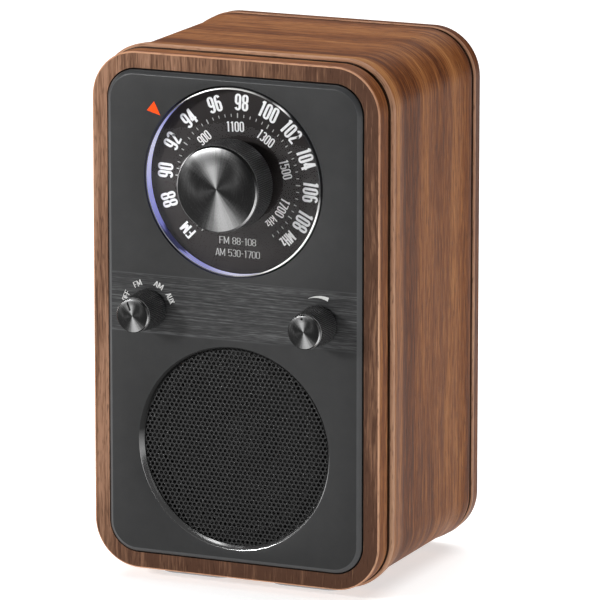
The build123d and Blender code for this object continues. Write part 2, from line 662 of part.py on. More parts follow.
# ---- knobs ----
def tuning_knob():
    back = TUNING_KNOB_BACK_Y
    seat = TUNING_KNOB_FRONT_Y + CAP_THICKNESS
    hollow_y = back - TUNING_HOLLOW_DEPTH
    profile = [
        (0, seat),
        (TUNING_KNOB_RADIUS - KNOB_EDGE, seat),
        (TUNING_KNOB_RADIUS, seat + KNOB_EDGE),
        (TUNING_KNOB_RADIUS, back),
        (TUNING_HOLLOW_RADIUS, back),
        (TUNING_HOLLOW_RADIUS, hollow_y),
        (TUNING_BOSS_RADIUS, hollow_y),
        (TUNING_BOSS_RADIUS, back),
        (SHAFT_RADIUS, back),
        (SHAFT_RADIUS, TUNING_SHAFT_FRONT_Y),
        (0, TUNING_SHAFT_FRONT_Y),
    ]
    return turned(profile, z=DIAL_Z)


def spun_cap(radius, front_y, x, z):
    """Thin spun metal disc on the front of a knob, with a bevelled edge."""
    profile = [
        (0, front_y),
        (radius - CAP_CHAMFER, front_y),
        (radius, front_y + CAP_CHAMFER),
        (radius, front_y + CAP_THICKNESS),
        (0, front_y + CAP_THICKNESS),
    ]
    return turned(profile, x, z)


def tuning_knob_cap():
    return spun_cap(TUNING_CAP_RADIUS, TUNING_KNOB_FRONT_Y, 0, DIAL_Z)


def small_knob(x):
    front = SMALL_KNOB_FRONT_Y + CAP_THICKNESS
    back = SMALL_KNOB_BACK_Y
    hollow_y = back - SMALL_HOLLOW_DEPTH
    profile = [
        (0, front),
        (SMALL_KNOB_FRONT_RADIUS, front),
        (SMALL_KNOB_BACK_RADIUS, back),
        (SMALL_HOLLOW_RADIUS, back),
        (SMALL_HOLLOW_RADIUS, hollow_y),
        (CONTROL_SHAFT_RADIUS, hollow_y),
        (CONTROL_SHAFT_RADIUS, CONTROL_SHAFT_FRONT_Y),
        (0, CONTROL_SHAFT_FRONT_Y),
    ]
    return turned(profile, x, CONTROL_Z)


def small_knob_cap(x):
    return spun_cap(SMALL_KNOB_FRONT_RADIUS - 0.05, SMALL_KNOB_FRONT_Y, x, CONTROL_Z)


def control_shaft(x, end_y):
    return disc(CONTROL_SHAFT_RADIUS, CONTROL_SHAFT_FRONT_Y, end_y, x, CONTROL_Z)


def bushing(body, x, shaft_end_y):
    """Add the threaded bushing to a control's body and bore both for the shaft."""
    body += disc(BUSHING_RADIUS, BUSHING_FRONT_Y, PANEL_BACK_Y, x, CONTROL_Z)
    bore_radius = CONTROL_SHAFT_RADIUS + RUNNING_GAP
    return body - disc(bore_radius, BUSHING_FRONT_Y - CUT_MARGIN, shaft_end_y + SHAFT_END_GAP, x, CONTROL_Z)


def volume_pot():
    x = CONTROL_X
    body = disc(VOLUME_POT_RADIUS, PANEL_BACK_Y, VOLUME_POT_BACK_Y, x, CONTROL_Z)
    body += block((x - 7, x + 7), (4.0, 5.4), (CONTROL_Z - 15, CONTROL_Z - 5))
    return bushing(body, x, VOLUME_SHAFT_END_Y)


def selector_switch():
    x = -CONTROL_X
    half = SELECTOR_HALF_SIZE
    body = block((x - half, x + half), (PANEL_BACK_Y, SELECTOR_BACK_Y), (CONTROL_Z - half, CONTROL_Z + half))
    return bushing(body, x, SELECTOR_SHAFT_END_Y)


def control_nuts():
    nut = RegularPolygon(CONTROL_NUT_HALF_FLATS, 6, major_radius=False) - Circle(BUSHING_RADIUS)
    back_y = PANEL_FRONT_Y - WASHER_THICKNESS
    places = [Pos(side * CONTROL_X, CONTROL_Z) for side in (-1, 1)]
    return [prism(place * nut, back_y - CONTROL_NUT_THICKNESS, back_y) for place in places]


def control_washers():
    front_y = PANEL_FRONT_Y - WASHER_THICKNESS
    places = [side * CONTROL_X for side in (-1, 1)]
    return [tube(WASHER_RADIUS, BUSHING_RADIUS, front_y, PANEL_FRONT_Y, x, CONTROL_Z) for x in places]


# ---- loudspeaker ----
def speaker_grille():
    return disc(GRILLE_RADIUS, GRILLE_FRONT_Y, PANEL_BACK_Y, z=SPEAKER_Z)


def speaker_gasket():
    return tube(FLANGE_RADIUS - 1.0, GASKET_INNER_RADIUS, PANEL_BACK_Y, GASKET_BACK_Y, z=SPEAKER_Z)


def speaker_basket():
    """Pressed steel frame: round flange with four ears, windowed cone and a rear seat."""
    steel = BASKET_STEEL
    sloped = 1.4
    profile = [
        (BASKET_LIP_RADIUS - 3.5, GASKET_BACK_Y),
        (FLANGE_RADIUS, GASKET_BACK_Y),
        (FLANGE_RADIUS, FLANGE_BACK_Y),
        (BASKET_LIP_RADIUS, FLANGE_BACK_Y),
        (BASKET_FLOOR_RADIUS, BASKET_FLOOR_Y),
        (BASKET_FLOOR_RADIUS, BASKET_FLOOR_Y + steel),
        (BASKET_NECK_RADIUS + steel, BASKET_FLOOR_Y + steel),
        (BASKET_NECK_RADIUS + steel, BASKET_SEAT_Y + steel),
        (BASKET_SEAT_HOLE, BASKET_SEAT_Y + steel),
        (BASKET_SEAT_HOLE, BASKET_SEAT_Y),
        (BASKET_NECK_RADIUS, BASKET_SEAT_Y),
        (BASKET_NECK_RADIUS, BASKET_FLOOR_Y),
        (BASKET_FLOOR_RADIUS - sloped, BASKET_FLOOR_Y),
        (BASKET_LIP_RADIUS - sloped, FLANGE_BACK_Y),
        (BASKET_LIP_RADIUS - 3.5, FLANGE_BACK_Y),
    ]
    basket = turned(profile)
    flange = (GASKET_BACK_Y, FLANGE_BACK_Y)
    for angle in (45, 135, 225, 315):
        ear = Rot(0, angle, 0) * Pos(EAR_REACH, 0, 0) * disc(EAR_RADIUS, *flange)
        neck = Rot(0, angle, 0) * block((FLANGE_RADIUS - 4.0, EAR_REACH), flange, (-EAR_RADIUS, EAR_RADIUS))
        basket += ear + neck
    for angle in (45, 135, 225, 315):
        hole = disc(SMALL_SCREW_RADIUS, GASKET_BACK_Y - CUT_MARGIN, FLANGE_BACK_Y + CUT_MARGIN)
        basket -= Rot(0, angle, 0) * Pos(EAR_REACH, 0, 0) * hole
    for angle in (0, 90, 180, 270):
        opening = (-WINDOW_HALF_WIDTH, WINDOW_HALF_WIDTH)
        basket -= Rot(0, angle, 0) * block((24.0, 40.0), (WINDOW_FRONT_Y, WINDOW_BACK_Y), opening)
    return Pos(0, 0, SPEAKER_Z) * basket


def speaker_cone():
    profile = [
        (SURROUND_INNER_RADIUS, GASKET_BACK_Y),
        (CONE_EDGE_RADIUS, GASKET_BACK_Y),
        (CONE_EDGE_RADIUS, GASKET_BACK_Y + 0.6),
        (CONE_EDGE_RADIUS - CONE_PAPER, GASKET_BACK_Y + 0.6),
        (COIL_RADIUS, CONE_NECK_FRONT_Y + CONE_PAPER),
        (COIL_RADIUS, CONE_NECK_FRONT_Y),
        (SURROUND_INNER_RADIUS, GASKET_BACK_Y + 0.1),
    ]
    return turned(profile, z=SPEAKER_Z)


def speaker_surround():
    """Half roll of rubber between the cone edge and the basket."""
    back = GASKET_BACK_Y
    front = back - SURROUND_SHEET
    roll = SURROUND_ROLL
    inner = CONE_EDGE_RADIUS
    outer = inner + 2 * roll
    thickness = SURROUND_SHEET
    crest = inner + roll
    crest_y = front - roll
    outline = Line((SURROUND_INNER_RADIUS, back), (SURROUND_INNER_RADIUS, front))
    outline += Line((SURROUND_INNER_RADIUS, front), (inner, front))
    outline += ThreePointArc((inner, front), (crest, crest_y), (outer, front))
    outline += Line((outer, front), (SURROUND_OUTER_RADIUS, front))
    outline += Line((SURROUND_OUTER_RADIUS, front), (SURROUND_OUTER_RADIUS, back))
    outline += Line((SURROUND_OUTER_RADIUS, back), (outer - thickness, back))
    inside_crest = (crest, crest_y + thickness)
    outline += ThreePointArc((outer - thickness, back), inside_crest, (inner + thickness, back))
    outline += Line((inner + thickness, back), (SURROUND_INNER_RADIUS, back))
    return Pos(0, 0, SPEAKER_Z) * revolve(make_face(outline), axis=Axis.Y)


def speaker_spider():
    return tube(SPIDER_RADIUS, COIL_RADIUS, SPIDER_FRONT_Y, SPIDER_FRONT_Y + 0.5, z=SPEAKER_Z)


def dust_cap():
    """Domed cap, a thin slice of a sphere, glued over the neck of the cone."""
    sphere_radius = (DUST_CAP_RADIUS**2 + DUST_CAP_HEIGHT**2) / (2 * DUST_CAP_HEIGHT)
    front = DUST_CAP_FRONT_Y
    shell = Sphere(sphere_radius) - Sphere(sphere_radius - DUST_CAP_PAPER)
    slice_of_it = disc(DUST_CAP_RADIUS, front - CUT_MARGIN, front + DUST_CAP_HEIGHT)
    cap = Pos(0, front + sphere_radius, 0) * shell & slice_of_it
    return Pos(0, 0, SPEAKER_Z) * cap


def voice_coil():
    """Paper former with the winding around its rear end."""
    inner = POLE_RADIUS + 0.3
    winding = COIL_RADIUS + 0.4
    profile = [
        (inner, CONE_NECK_FRONT_Y),
        (COIL_RADIUS, CONE_NECK_FRONT_Y),
        (COIL_RADIUS, COIL_FRONT_Y),
        (winding, COIL_FRONT_Y),
        (winding, COIL_BACK_Y),
        (COIL_RADIUS, COIL_BACK_Y),
        (COIL_RADIUS, FORMER_BACK_Y),
        (inner, FORMER_BACK_Y),
    ]
    return turned(profile, z=SPEAKER_Z)


def magnet_front_plate():
    front_y = BASKET_SEAT_Y + BASKET_STEEL
    return tube(MAGNET_PLATE_RADIUS, COIL_RADIUS + COIL_GAP, front_y, MAGNET_FRONT_Y, z=SPEAKER_Z)


def ring_magnet():
    return tube(MAGNET_RADIUS, MAGNET_HOLE_RADIUS, MAGNET_FRONT_Y, MAGNET_BACK_Y, z=SPEAKER_Z)


def magnet_back_plate():
    """Rear steel plate with the centre pole."""
    plate = disc(MAGNET_PLATE_RADIUS, MAGNET_BACK_Y, MAGNET_BACK_Y + MAGNET_PLATE_THICKNESS, z=SPEAKER_Z)
    return plate + disc(POLE_RADIUS, BASKET_SEAT_Y + BASKET_STEEL, MAGNET_BACK_Y, z=SPEAKER_Z)


# ---- circuit board ----
def board_screw_places():
    return [(side * BOARD_SCREW_X, z) for side in (-1, 1) for z in (BOARD_SCREW_LOW_Z, BOARD_SCREW_HIGH_Z)]


def main_board():
    board = block(
        (-BOARD_HALF_WIDTH, BOARD_HALF_WIDTH), (BOARD_FRONT_Y, BOARD_BACK_Y), (BOARD_LOW_Z, BOARD_HIGH_Z)
    )
    for x, z in board_screw_places():
        board -= disc(SMALL_HOLE_RADIUS, BOARD_FRONT_Y - CUT_MARGIN, BOARD_BACK_Y + CUT_MARGIN, x, z)
    return board


def heatsink():
    """Finned aluminium block on the amplifier chip."""
    height = (HEATSINK_LOW_Z, HEATSINK_HIGH_Z)
    base = block((-HEATSINK_HALF_WIDTH, HEATSINK_HALF_WIDTH), (HEATSINK_BASE_Y, AMPLIFIER_FRONT_Y), height)
    for index in range(FIN_COUNT):
        x = -HEATSINK_HALF_WIDTH + index * FIN_PITCH
        base += block((x, x + FIN_THICKNESS), (HEATSINK_FRONT_Y, HEATSINK_BASE_Y), height)
    return base


def chips():
    """Amplifier, tuner, decoder and regulator packages on the front of the board."""
    amplifier = block((-10, 10), (AMPLIFIER_FRONT_Y, BOARD_FRONT_Y), (80, 96))
    tuner = block((-32, -22), (CHIP_FRONT_Y, BOARD_FRONT_Y), (92, 102))
    decoder = block((20, 30), (CHIP_FRONT_Y, BOARD_FRONT_Y), (104, 110))
    regulator = block((18, 32), (CHIP_FRONT_Y, BOARD_FRONT_Y), (60, 74))
    return [amplifier, tuner, decoder, regulator]


def capacitors():
    """Electrolytic capacitors standing on the front of the board, (x, z, radius) each."""
    places = [(-30, 62, 5.0), (-30, 76, 5.0), (-16, 56, 4.0), (0, 60, 6.3), (30, 88, 4.0)]
    return [disc(radius, BOARD_FRONT_Y - 3.2 * radius, BOARD_FRONT_Y, x, z) for x, z, radius in places]


def along_x(shape, x):
    return Pos(x, ROD_Y, ROD_Z) * Rot(0, 90, 0) * shape


def ferrite_rod():
    return along_x(Cylinder(ROD_RADIUS, ROD_LENGTH), 0)


def antenna_coil():
    winding = Cylinder(COIL_WINDING_RADIUS, COIL_WINDING_LENGTH) - Cylinder(ROD_RADIUS, COIL_WINDING_LENGTH)
    return along_x(winding, COIL_WINDING_X)


def rod_clips():
    """Two plastic clips that hold the ferrite rod in front of the board."""
    height = (ROD_Z - CLIP_HALF_HEIGHT, ROD_Z + CLIP_HALF_HEIGHT)
    solids = []
    for x in (-CLIP_X, CLIP_X):
        width = (x - CLIP_HALF_WIDTH, x + CLIP_HALF_WIDTH)
        post = block(width, (ROD_Y - CLIP_FRONT_REACH, BOARD_FRONT_Y), height)
        solids.append(post - along_x(Cylinder(ROD_RADIUS, 4 * CLIP_HALF_WIDTH), x))
    return solids


# ---- rear cover and sockets ----
def rear_cover():
    outline = face_outline(PANEL_IN)
    cover = prism(outline, COVER_FRONT_Y, COVER_BACK_Y)
    cover += prism(outline - face_outline(PANEL_IN - SKIRT), REAR_SEAM_Y, COVER_FRONT_Y)
    for x, z in screw_corners():
        cover += disc(CORNER_POST_RADIUS, REAR_SEAM_Y, COVER_FRONT_Y, x, z)
    for x, z in board_screw_places():
        cover += disc(SMALL_POST_RADIUS, BOARD_BACK_Y, COVER_FRONT_Y, x, z)
    for x, z in screw_corners():
        cover -= disc(CORNER_HOLE_RADIUS, REAR_SEAM_Y - CUT_MARGIN, COVER_BACK_Y + CUT_MARGIN, x, z)
    for x, z in board_screw_places():
        cover -= disc(SMALL_SCREW_RADIUS, BOARD_BACK_Y - CUT_MARGIN, BOARD_FRONT_Y + SMALL_SCREW_LENGTH, x, z)
    noses = [(DC_X, DC_NOSE_RADIUS), (AUX_X, PLUG_NOSE_RADIUS), (PHONES_X, PLUG_NOSE_RADIUS)]
    noses.append((ANTENNA_X, ANTENNA_COLLAR_RADIUS))
    through = (COVER_FRONT_Y - CUT_MARGIN, COVER_BACK_Y + CUT_MARGIN)
    for x, radius in noses:
        cover -= disc(radius + SOCKET_HOLE_GAP, *through, x, SOCKET_Z)
    slot = SlotOverall(VENT_LENGTH, VENT_WIDTH)
    for row in range(VENT_ROWS):
        for side in (-1, 1):
            cover -= prism(Pos(side * VENT_X, VENT_LOW_Z + row * VENT_PITCH) * slot, *through)
    return cover


def socket_body(x, half_width, half_height):
    width = (x - half_width, x + half_width)
    return block(width, (BOARD_BACK_Y, SOCKET_BODY_END_Y), (SOCKET_Z - half_height, SOCKET_Z + half_height))


def plug_socket(x):
    """3.5 mm socket: a square body on the board and a round nose in the cover."""
    end_y = COVER_BACK_Y + PLUG_NOSE_REACH
    body = socket_body(x, PLUG_HALF_WIDTH, PLUG_HALF_HEIGHT)
    body += disc(PLUG_NOSE_RADIUS, SOCKET_BODY_END_Y, end_y, x, SOCKET_Z)
    return body - disc(PLUG_BORE_RADIUS, end_y - PLUG_BORE_LENGTH, end_y + CUT_MARGIN, x, SOCKET_Z)


def dc_jack():
    end_y = COVER_BACK_Y + DC_NOSE_REACH
    floor_y = COVER_BACK_Y - DC_BORE_DEPTH
    body = socket_body(DC_X, DC_HALF_SIZE, DC_HALF_SIZE)
    body += disc(DC_NOSE_RADIUS, SOCKET_BODY_END_Y, end_y, DC_X, SOCKET_Z)
    body -= disc(DC_BORE_RADIUS, floor_y, end_y + CUT_MARGIN, DC_X, SOCKET_Z)
    return body + disc(DC_PIN_RADIUS, floor_y, COVER_BACK_Y - DC_NOSE_REACH, DC_X, SOCKET_Z)


def antenna_socket():
    """Threaded coaxial socket for an outdoor antenna."""
    collar_end = COVER_BACK_Y + ANTENNA_COLLAR_REACH
    beyond = THREAD_END_Y + CUT_MARGIN
    body = socket_body(ANTENNA_X, ANTENNA_HALF_SIZE, ANTENNA_HALF_SIZE)
    body += disc(ANTENNA_COLLAR_RADIUS, SOCKET_BODY_END_Y, collar_end, ANTENNA_X, SOCKET_Z)
    body += disc(THREAD_RADIUS, collar_end, THREAD_END_Y, ANTENNA_X, SOCKET_Z)
    body -= disc(ANTENNA_MOUTH_RADIUS, THREAD_END_Y - ANTENNA_MOUTH_DEPTH, beyond, ANTENNA_X, SOCKET_Z)
    hole_front = THREAD_END_Y - ANTENNA_PIN_HOLE_DEPTH
    return body - disc(ANTENNA_PIN_HOLE_RADIUS, hole_front, beyond, ANTENNA_X, SOCKET_Z)


NODES = {
    "cabinet_body": cabinet_body,
    "front_frame": front_frame,
    "rear_frame": rear_frame,
    "corner_blocks": corner_blocks,
    "feet": feet,
    "front_panel": front_panel,
    "panel_screws": panel_screws,
    "dial_lens": dial_lens,
    "dial_plate": dial_plate,
    "dial_gear": dial_gear,
    "idler_gear": idler_gear,
    "idler_pin": idler_pin,
    "tuning_shaft": tuning_shaft,
    "shaft_clip": shaft_clip,
    "gear_plate": gear_plate,
    "gear_plate_screws": gear_plate_screws,
    "tuning_pot": tuning_pot,
    "tuning_pot_nut": tuning_pot_nut,
    "tuning_pot_shaft": pot_shaft,
    "tuning_pot_gear": pot_gear,
    "tuning_knob": tuning_knob,
    "tuning_knob_cap": tuning_knob_cap,
    "volume_knob": lambda: small_knob(CONTROL_X),
    "volume_knob_cap": lambda: small_knob_cap(CONTROL_X),
    "volume_shaft": lambda: control_shaft(CONTROL_X, VOLUME_SHAFT_END_Y),
    "volume_pot": volume_pot,
    "selector_knob": lambda: small_knob(-CONTROL_X),
    "selector_knob_cap": lambda: small_knob_cap(-CONTROL_X),
    "selector_shaft": lambda: control_shaft(-CONTROL_X, SELECTOR_SHAFT_END_Y),
    "selector_switch": selector_switch,
    "control_nuts": control_nuts,
    "control_washers": control_washers,
    "speaker_grille": speaker_grille,
    "speaker_gasket": speaker_gasket,
    "speaker_basket": speaker_basket,
    "speaker_screws": speaker_screws,
    "speaker_cone": speaker_cone,
    "speaker_surround": speaker_surround,
    "speaker_spider": speaker_spider,
    "speaker_dust_cap": dust_cap,
    "voice_coil": voice_coil,
    "magnet_front_plate": magnet_front_plate,
    "ring_magnet": ring_magnet,
    "magnet_back_plate": magnet_back_plate,
    "main_board": main_board,
    "board_screws": board_screws,
    "heatsink": heatsink,
    "chips": chips,
    "capacitors": capacitors,
    "ferrite_rod": ferrite_rod,
    "antenna_coil": antenna_coil,
    "rod_clips": rod_clips,
    "rear_cover": rear_cover,
    "rear_screws": rear_screws,
    "dc_jack": dc_jack,
    "aux_socket": lambda: plug_socket(AUX_X),
    "headphone_socket": lambda: plug_socket(PHONES_X),
    "antenna_socket": antenna_socket,
}

os.makedirs("parts", exist_ok=True)
for name, build in NODES.items():
    shape = build()
    solids = shape if isinstance(shape, list) else shape.solids()
    placed = [TO_PART_FRAME * solid for solid in solids]
    result = placed[0] if len(placed) == 1 else Compound(children=placed)
    result.label = name
    export_step(result, f"parts/{name}.step")
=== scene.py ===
import math

import bmesh
import bpy
from mathutils import Matrix, Vector


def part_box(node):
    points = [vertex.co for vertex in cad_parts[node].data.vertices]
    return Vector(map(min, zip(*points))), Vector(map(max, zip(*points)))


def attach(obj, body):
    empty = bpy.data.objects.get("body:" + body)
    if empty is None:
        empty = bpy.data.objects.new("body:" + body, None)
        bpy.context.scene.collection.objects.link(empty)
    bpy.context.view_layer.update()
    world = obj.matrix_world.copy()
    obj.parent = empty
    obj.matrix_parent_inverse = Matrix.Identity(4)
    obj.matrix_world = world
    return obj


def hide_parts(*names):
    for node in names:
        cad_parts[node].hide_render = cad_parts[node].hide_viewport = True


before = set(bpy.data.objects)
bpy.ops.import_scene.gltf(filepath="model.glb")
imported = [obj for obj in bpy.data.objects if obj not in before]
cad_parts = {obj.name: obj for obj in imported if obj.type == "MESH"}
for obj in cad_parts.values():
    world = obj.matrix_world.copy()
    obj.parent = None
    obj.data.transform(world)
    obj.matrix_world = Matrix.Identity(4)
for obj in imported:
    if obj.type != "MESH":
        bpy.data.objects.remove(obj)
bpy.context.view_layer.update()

# Looks of the tabletop radio. Lengths in the tables below are millimetres in the modelling frame:
# x = 0 on the centre line, y = 0 on the wooden front face, z = 0 at the lower edge of its outline.
MM = 0.001
BAND_OUT = 0.5
FRAME_LOW, FRAME_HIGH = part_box("front_frame")
FRONT_Y = FRAME_LOW.y
BASE_Z = FRAME_LOW.z + BAND_OUT * MM
FACE_WIDTH = (FRAME_HIGH.x - FRAME_LOW.x) / MM - 2 * BAND_OUT
FACE_HEIGHT = (FRAME_HIGH.z - FRAME_LOW.z) / MM - 2 * BAND_OUT
FACE_RADIUS = 17.0
MID_Z = FACE_HEIGHT / 2

# Wooden rings, as distances outward from the face outline and back from the face.
OPENING_OUT = -5.5
SLEEVE_INSIDE_OUT = -9.0
GROOVE_OUT = -0.6
FRONT_LAND_END_Y = 7.8
FRONT_SEAM_Y = 8.6
REAR_SEAM_Y = 86.0
BACK_Y = 93.5

# Front panel, dial and speaker.
PANEL_Y = -1.6
BAND_LOW_Z, BAND_HIGH_Z = 88.7, 110.3
WELL_RADIUS = 35.1
CONTROL_HOLE_RADIUS = 3.6
LENS_RADIUS = 34.45
LENS_FRONT_Y = -2.0
DIAL_FACE_Y = 2.6
DIAL_PRINT_Y = DIAL_FACE_Y - 0.05
PANEL_PRINT_Y = PANEL_Y - 0.012
SPEAKER_RIM_RADIUS = 37.8
SPEAKER_MOUTH_RADIUS = 36.3
GRILLE_Y, GRILLE_BACK_Y = 0.62, 1.3

# Knobs.
TUNING_FRONT_Y = -16.0
CONTROL_FRONT_Y = -15.5
CAP_DEPTH = 1.2

# Camera: angles in degrees, distance in metres, lens in millimetres. It looks at a point on the
# centre line, moved sideways and down in the picture by AIM_RIGHT and AIM_DOWN.
VIEW_AZIMUTH, VIEW_ELEVATION = 23.770, 12.449
VIEW_DISTANCE = 2.21326
VIEW_LENS = 360.2
AIM_Y, AIM_Z = 56.0, 96.727
AIM_RIGHT, AIM_DOWN = 0.838, 4.52


def at(x, y, z):
    """A point of the modelling frame, in the row frame."""
    return Vector((x * MM, FRONT_Y + y * MM, BASE_Z + z * MM))


def centre_of(node):
    """x and z of a node's middle, in the modelling frame."""
    low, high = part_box(node)
    middle = (low + high) / 2
    return middle.x / MM, (middle.z - BASE_Z) / MM


DIAL_X, DIAL_Z = centre_of("dial_plate")
SPEAKER_X, SPEAKER_Z = centre_of("speaker_grille")
VOLUME_X, VOLUME_Z = centre_of("volume_knob")
SELECTOR_X, SELECTOR_Z = centre_of("selector_knob")


# ---- node helpers
class Nodes:
    """A material's node tree, with short calls for the nodes that the finishes share."""

    def __init__(self, name):
        self.material = bpy.data.materials.new(name)
        self.material.use_nodes = True
        self.tree = self.material.node_tree
        self.bsdf = self.tree.nodes["Principled BSDF"]

    def new(self, kind, **settings):
        node = self.tree.nodes.new(kind)
        for key, value in settings.items():
            setattr(node, key, value)
        return node

    def link(self, source, target):
        self.tree.links.new(source, target)

    def fill(self, socket, value):
        if isinstance(value, bpy.types.NodeSocket):
            self.link(value, socket)
        else:
            socket.default_value = value

    def place(self):
        return self.new("ShaderNodeTexCoord").outputs["Object"]

    def wrap(self):
        return self.new("ShaderNodeUVMap", uv_map="wrap").outputs["UV"]

    def scaled(self, vector, scale):
        node = self.new("ShaderNodeMapping")
        self.link(vector, node.inputs["Vector"])
        node.inputs["Scale"].default_value = (scale, scale, scale)
        return node.outputs["Vector"]

    def noise(self, vector, detail=3.0, roughness=0.55):
        node = self.new("ShaderNodeTexNoise")
        self.link(vector, node.inputs["Vector"])
        node.inputs["Scale"].default_value = 1.0
        node.inputs["Detail"].default_value = detail
        node.inputs["Roughness"].default_value = roughness
        return node.outputs["Fac"]

    def math(self, operation, a, b=0.0, c=0.0):
        node = self.new("ShaderNodeMath", operation=operation)
        self.fill(node.inputs[0], a)
        self.fill(node.inputs[1], b)
        self.fill(node.inputs[2], c)
        return node.outputs[0]

    def split(self, vector):
        node = self.new("ShaderNodeSeparateXYZ")
        self.link(vector, node.inputs[0])
        return node.outputs

    def join(self, x, y, z):
        node = self.new("ShaderNodeCombineXYZ")
        for socket, value in zip(node.inputs, (x, y, z)):
            self.fill(socket, value)
        return node.outputs[0]

    def ramp(self, value, stops, smooth=False):
        node = self.new("ShaderNodeValToRGB")
        self.link(value, node.inputs[0])
        elements = node.color_ramp.elements
        if smooth:
            node.color_ramp.interpolation = "EASE"
        while len(elements) < len(stops):
            elements.new(0.5)
        for element, (position, colour) in zip(elements, stops):
            element.position = position
            element.color = (*colour, 1.0)
        return node.outputs["Color"]

    def span(self, value, low, high, out_low=0.0, out_high=1.0):
        node = self.new("ShaderNodeMapRange", clamp=True)
        self.link(value, node.inputs["Value"])
        for key, number in (("From Min", low), ("From Max", high), ("To Min", out_low), ("To Max", out_high)):
            node.inputs[key].default_value = number
        return node.outputs["Result"]

    def mix(self, factor, a, b):
        node = self.new("ShaderNodeMix", data_type="RGBA")
        self.fill(node.inputs["Factor"], factor)
        for socket, value in ((node.inputs[6], a), (node.inputs[7], b)):
            self.fill(socket, (*value, 1.0) if isinstance(value, tuple) else value)
        return node.outputs[2]

    def clock(self, x_mm, z_mm):
        """Distance from an axis along Y, as dx and dz, and the clock angle round it."""
        parts = self.split(self.place())
        dx = self.math("SUBTRACT", parts[0], x_mm * MM)
        dz = self.math("SUBTRACT", parts[2], BASE_Z + z_mm * MM)
        return dx, dz, self.math("ARCTAN2", dx, dz)

    def bump(self, height, strength, distance):
        node = self.new("ShaderNodeBump")
        self.link(height, node.inputs["Height"])
        node.inputs["Strength"].default_value = strength
        node.inputs["Distance"].default_value = distance
        self.link(node.outputs["Normal"], self.bsdf.inputs["Normal"])

    def finish(self, colour=None, roughness=None, **numbers):
        if colour is not None:
            self.fill(self.bsdf.inputs["Base Color"], (*colour, 1.0) if isinstance(colour, tuple) else colour)
        if roughness is not None:
            self.fill(self.bsdf.inputs["Roughness"], roughness)
        for key, value in numbers.items():
            self.bsdf.inputs[key.replace("_", " ")].default_value = value
        return self.material


# ---- finishes
def walnut(name, stops, grain, zones=None, shade=1.0):
    """Walnut veneer: broad figure, fine fibres and short dark pores, drawn out along the grain.
    "wrap" grain follows the wrapped sheet round the cabinet, "face" grain stands upright."""
    n = Nodes(name)
    place = n.split(n.place())
    if grain == "wrap":
        sheet = n.split(n.wrap())
        along, across = sheet[0], sheet[1]
    else:
        along, across = place[2], n.math("ADD", place[0], place[1])

    def layer(long_scale, cross_scale, seed, detail, roughness=0.6):
        spot = n.join(n.math("MULTIPLY", along, long_scale), n.math("MULTIPLY", bent, cross_scale), seed)
        return n.noise(spot, detail, roughness)

    wander = n.noise(n.join(n.math("MULTIPLY", along, 11.0), n.math("MULTIPLY", across, 40.0), 2.3), 2.0)
    bent = n.math("MULTIPLY_ADD", wander, 0.006, across)
    figure = layer(7.0, 150.0, 1.7, 3.0)
    streak = layer(16.0, 520.0, 4.8, 3.0)
    fibre = layer(95.0, 1500.0, 9.4, 2.0)
    pore = layer(230.0, 2100.0, 13.0, 1.0, 0.4)
    tone = n.math("MULTIPLY_ADD", figure, 0.55, n.math("MULTIPLY", streak, 0.45))
    tone = n.math("MULTIPLY_ADD", n.math("SUBTRACT", fibre, 0.5), 0.62, tone)
    if zones:
        depth = n.math("DIVIDE", n.math("SUBTRACT", place[1], FRONT_Y), BACK_Y * MM)
        swayed = n.math("MULTIPLY_ADD", n.math("SUBTRACT", wander, 0.5), 0.07, depth)
        zone = n.ramp(swayed, [(y / BACK_Y, (v, v, v)) for y, v in zones], smooth=True)
        tone = n.math("MULTIPLY_ADD", n.math("SUBTRACT", n.split(zone)[0], 0.5), 0.42, tone)
        # Painted shade: the tone darkens towards the right side of the cabinet.
        tone = n.math("ADD", tone, n.math("MULTIPLY", n.span(place[0], 44 * MM, 57 * MM), -0.045))
    if grain == "face":
        # Painted shade: the face darkens towards the right rail and towards the foot.
        right = n.math("MULTIPLY", n.span(place[0], -50 * MM, 56 * MM), -0.22)
        foot = n.math("MULTIPLY", n.span(place[2], BASE_Z + 40 * MM, BASE_Z), -0.17)
        tone = n.math("ADD", tone, n.math("ADD", right, foot))
    colour = n.ramp(tone, [(position, tuple(c * shade for c in tint)) for position, tint in stops])
    pores = n.span(pore, 0.60, 0.70)
    colour = n.mix(n.math("MULTIPLY", pores, 0.50), colour, (0.040, 0.017, 0.010))
    # Painted glints: light flecks mixed into the colour as painted highlights.
    painted_glints = n.span(layer(120.0, 1800.0, 21.0, 1.0, 0.4), 0.66, 0.78)
    colour = n.mix(n.math("MULTIPLY", painted_glints, 0.20), colour, (0.46, 0.27, 0.14))
    n.bump(n.math("SUBTRACT", n.math("MULTIPLY", fibre, 0.6), pores), 0.4, 0.00012)
    rough = n.span(streak, 0.3, 0.7, 0.38, 0.50)
    return n.finish(colour, rough, Specular_IOR_Level=0.06)


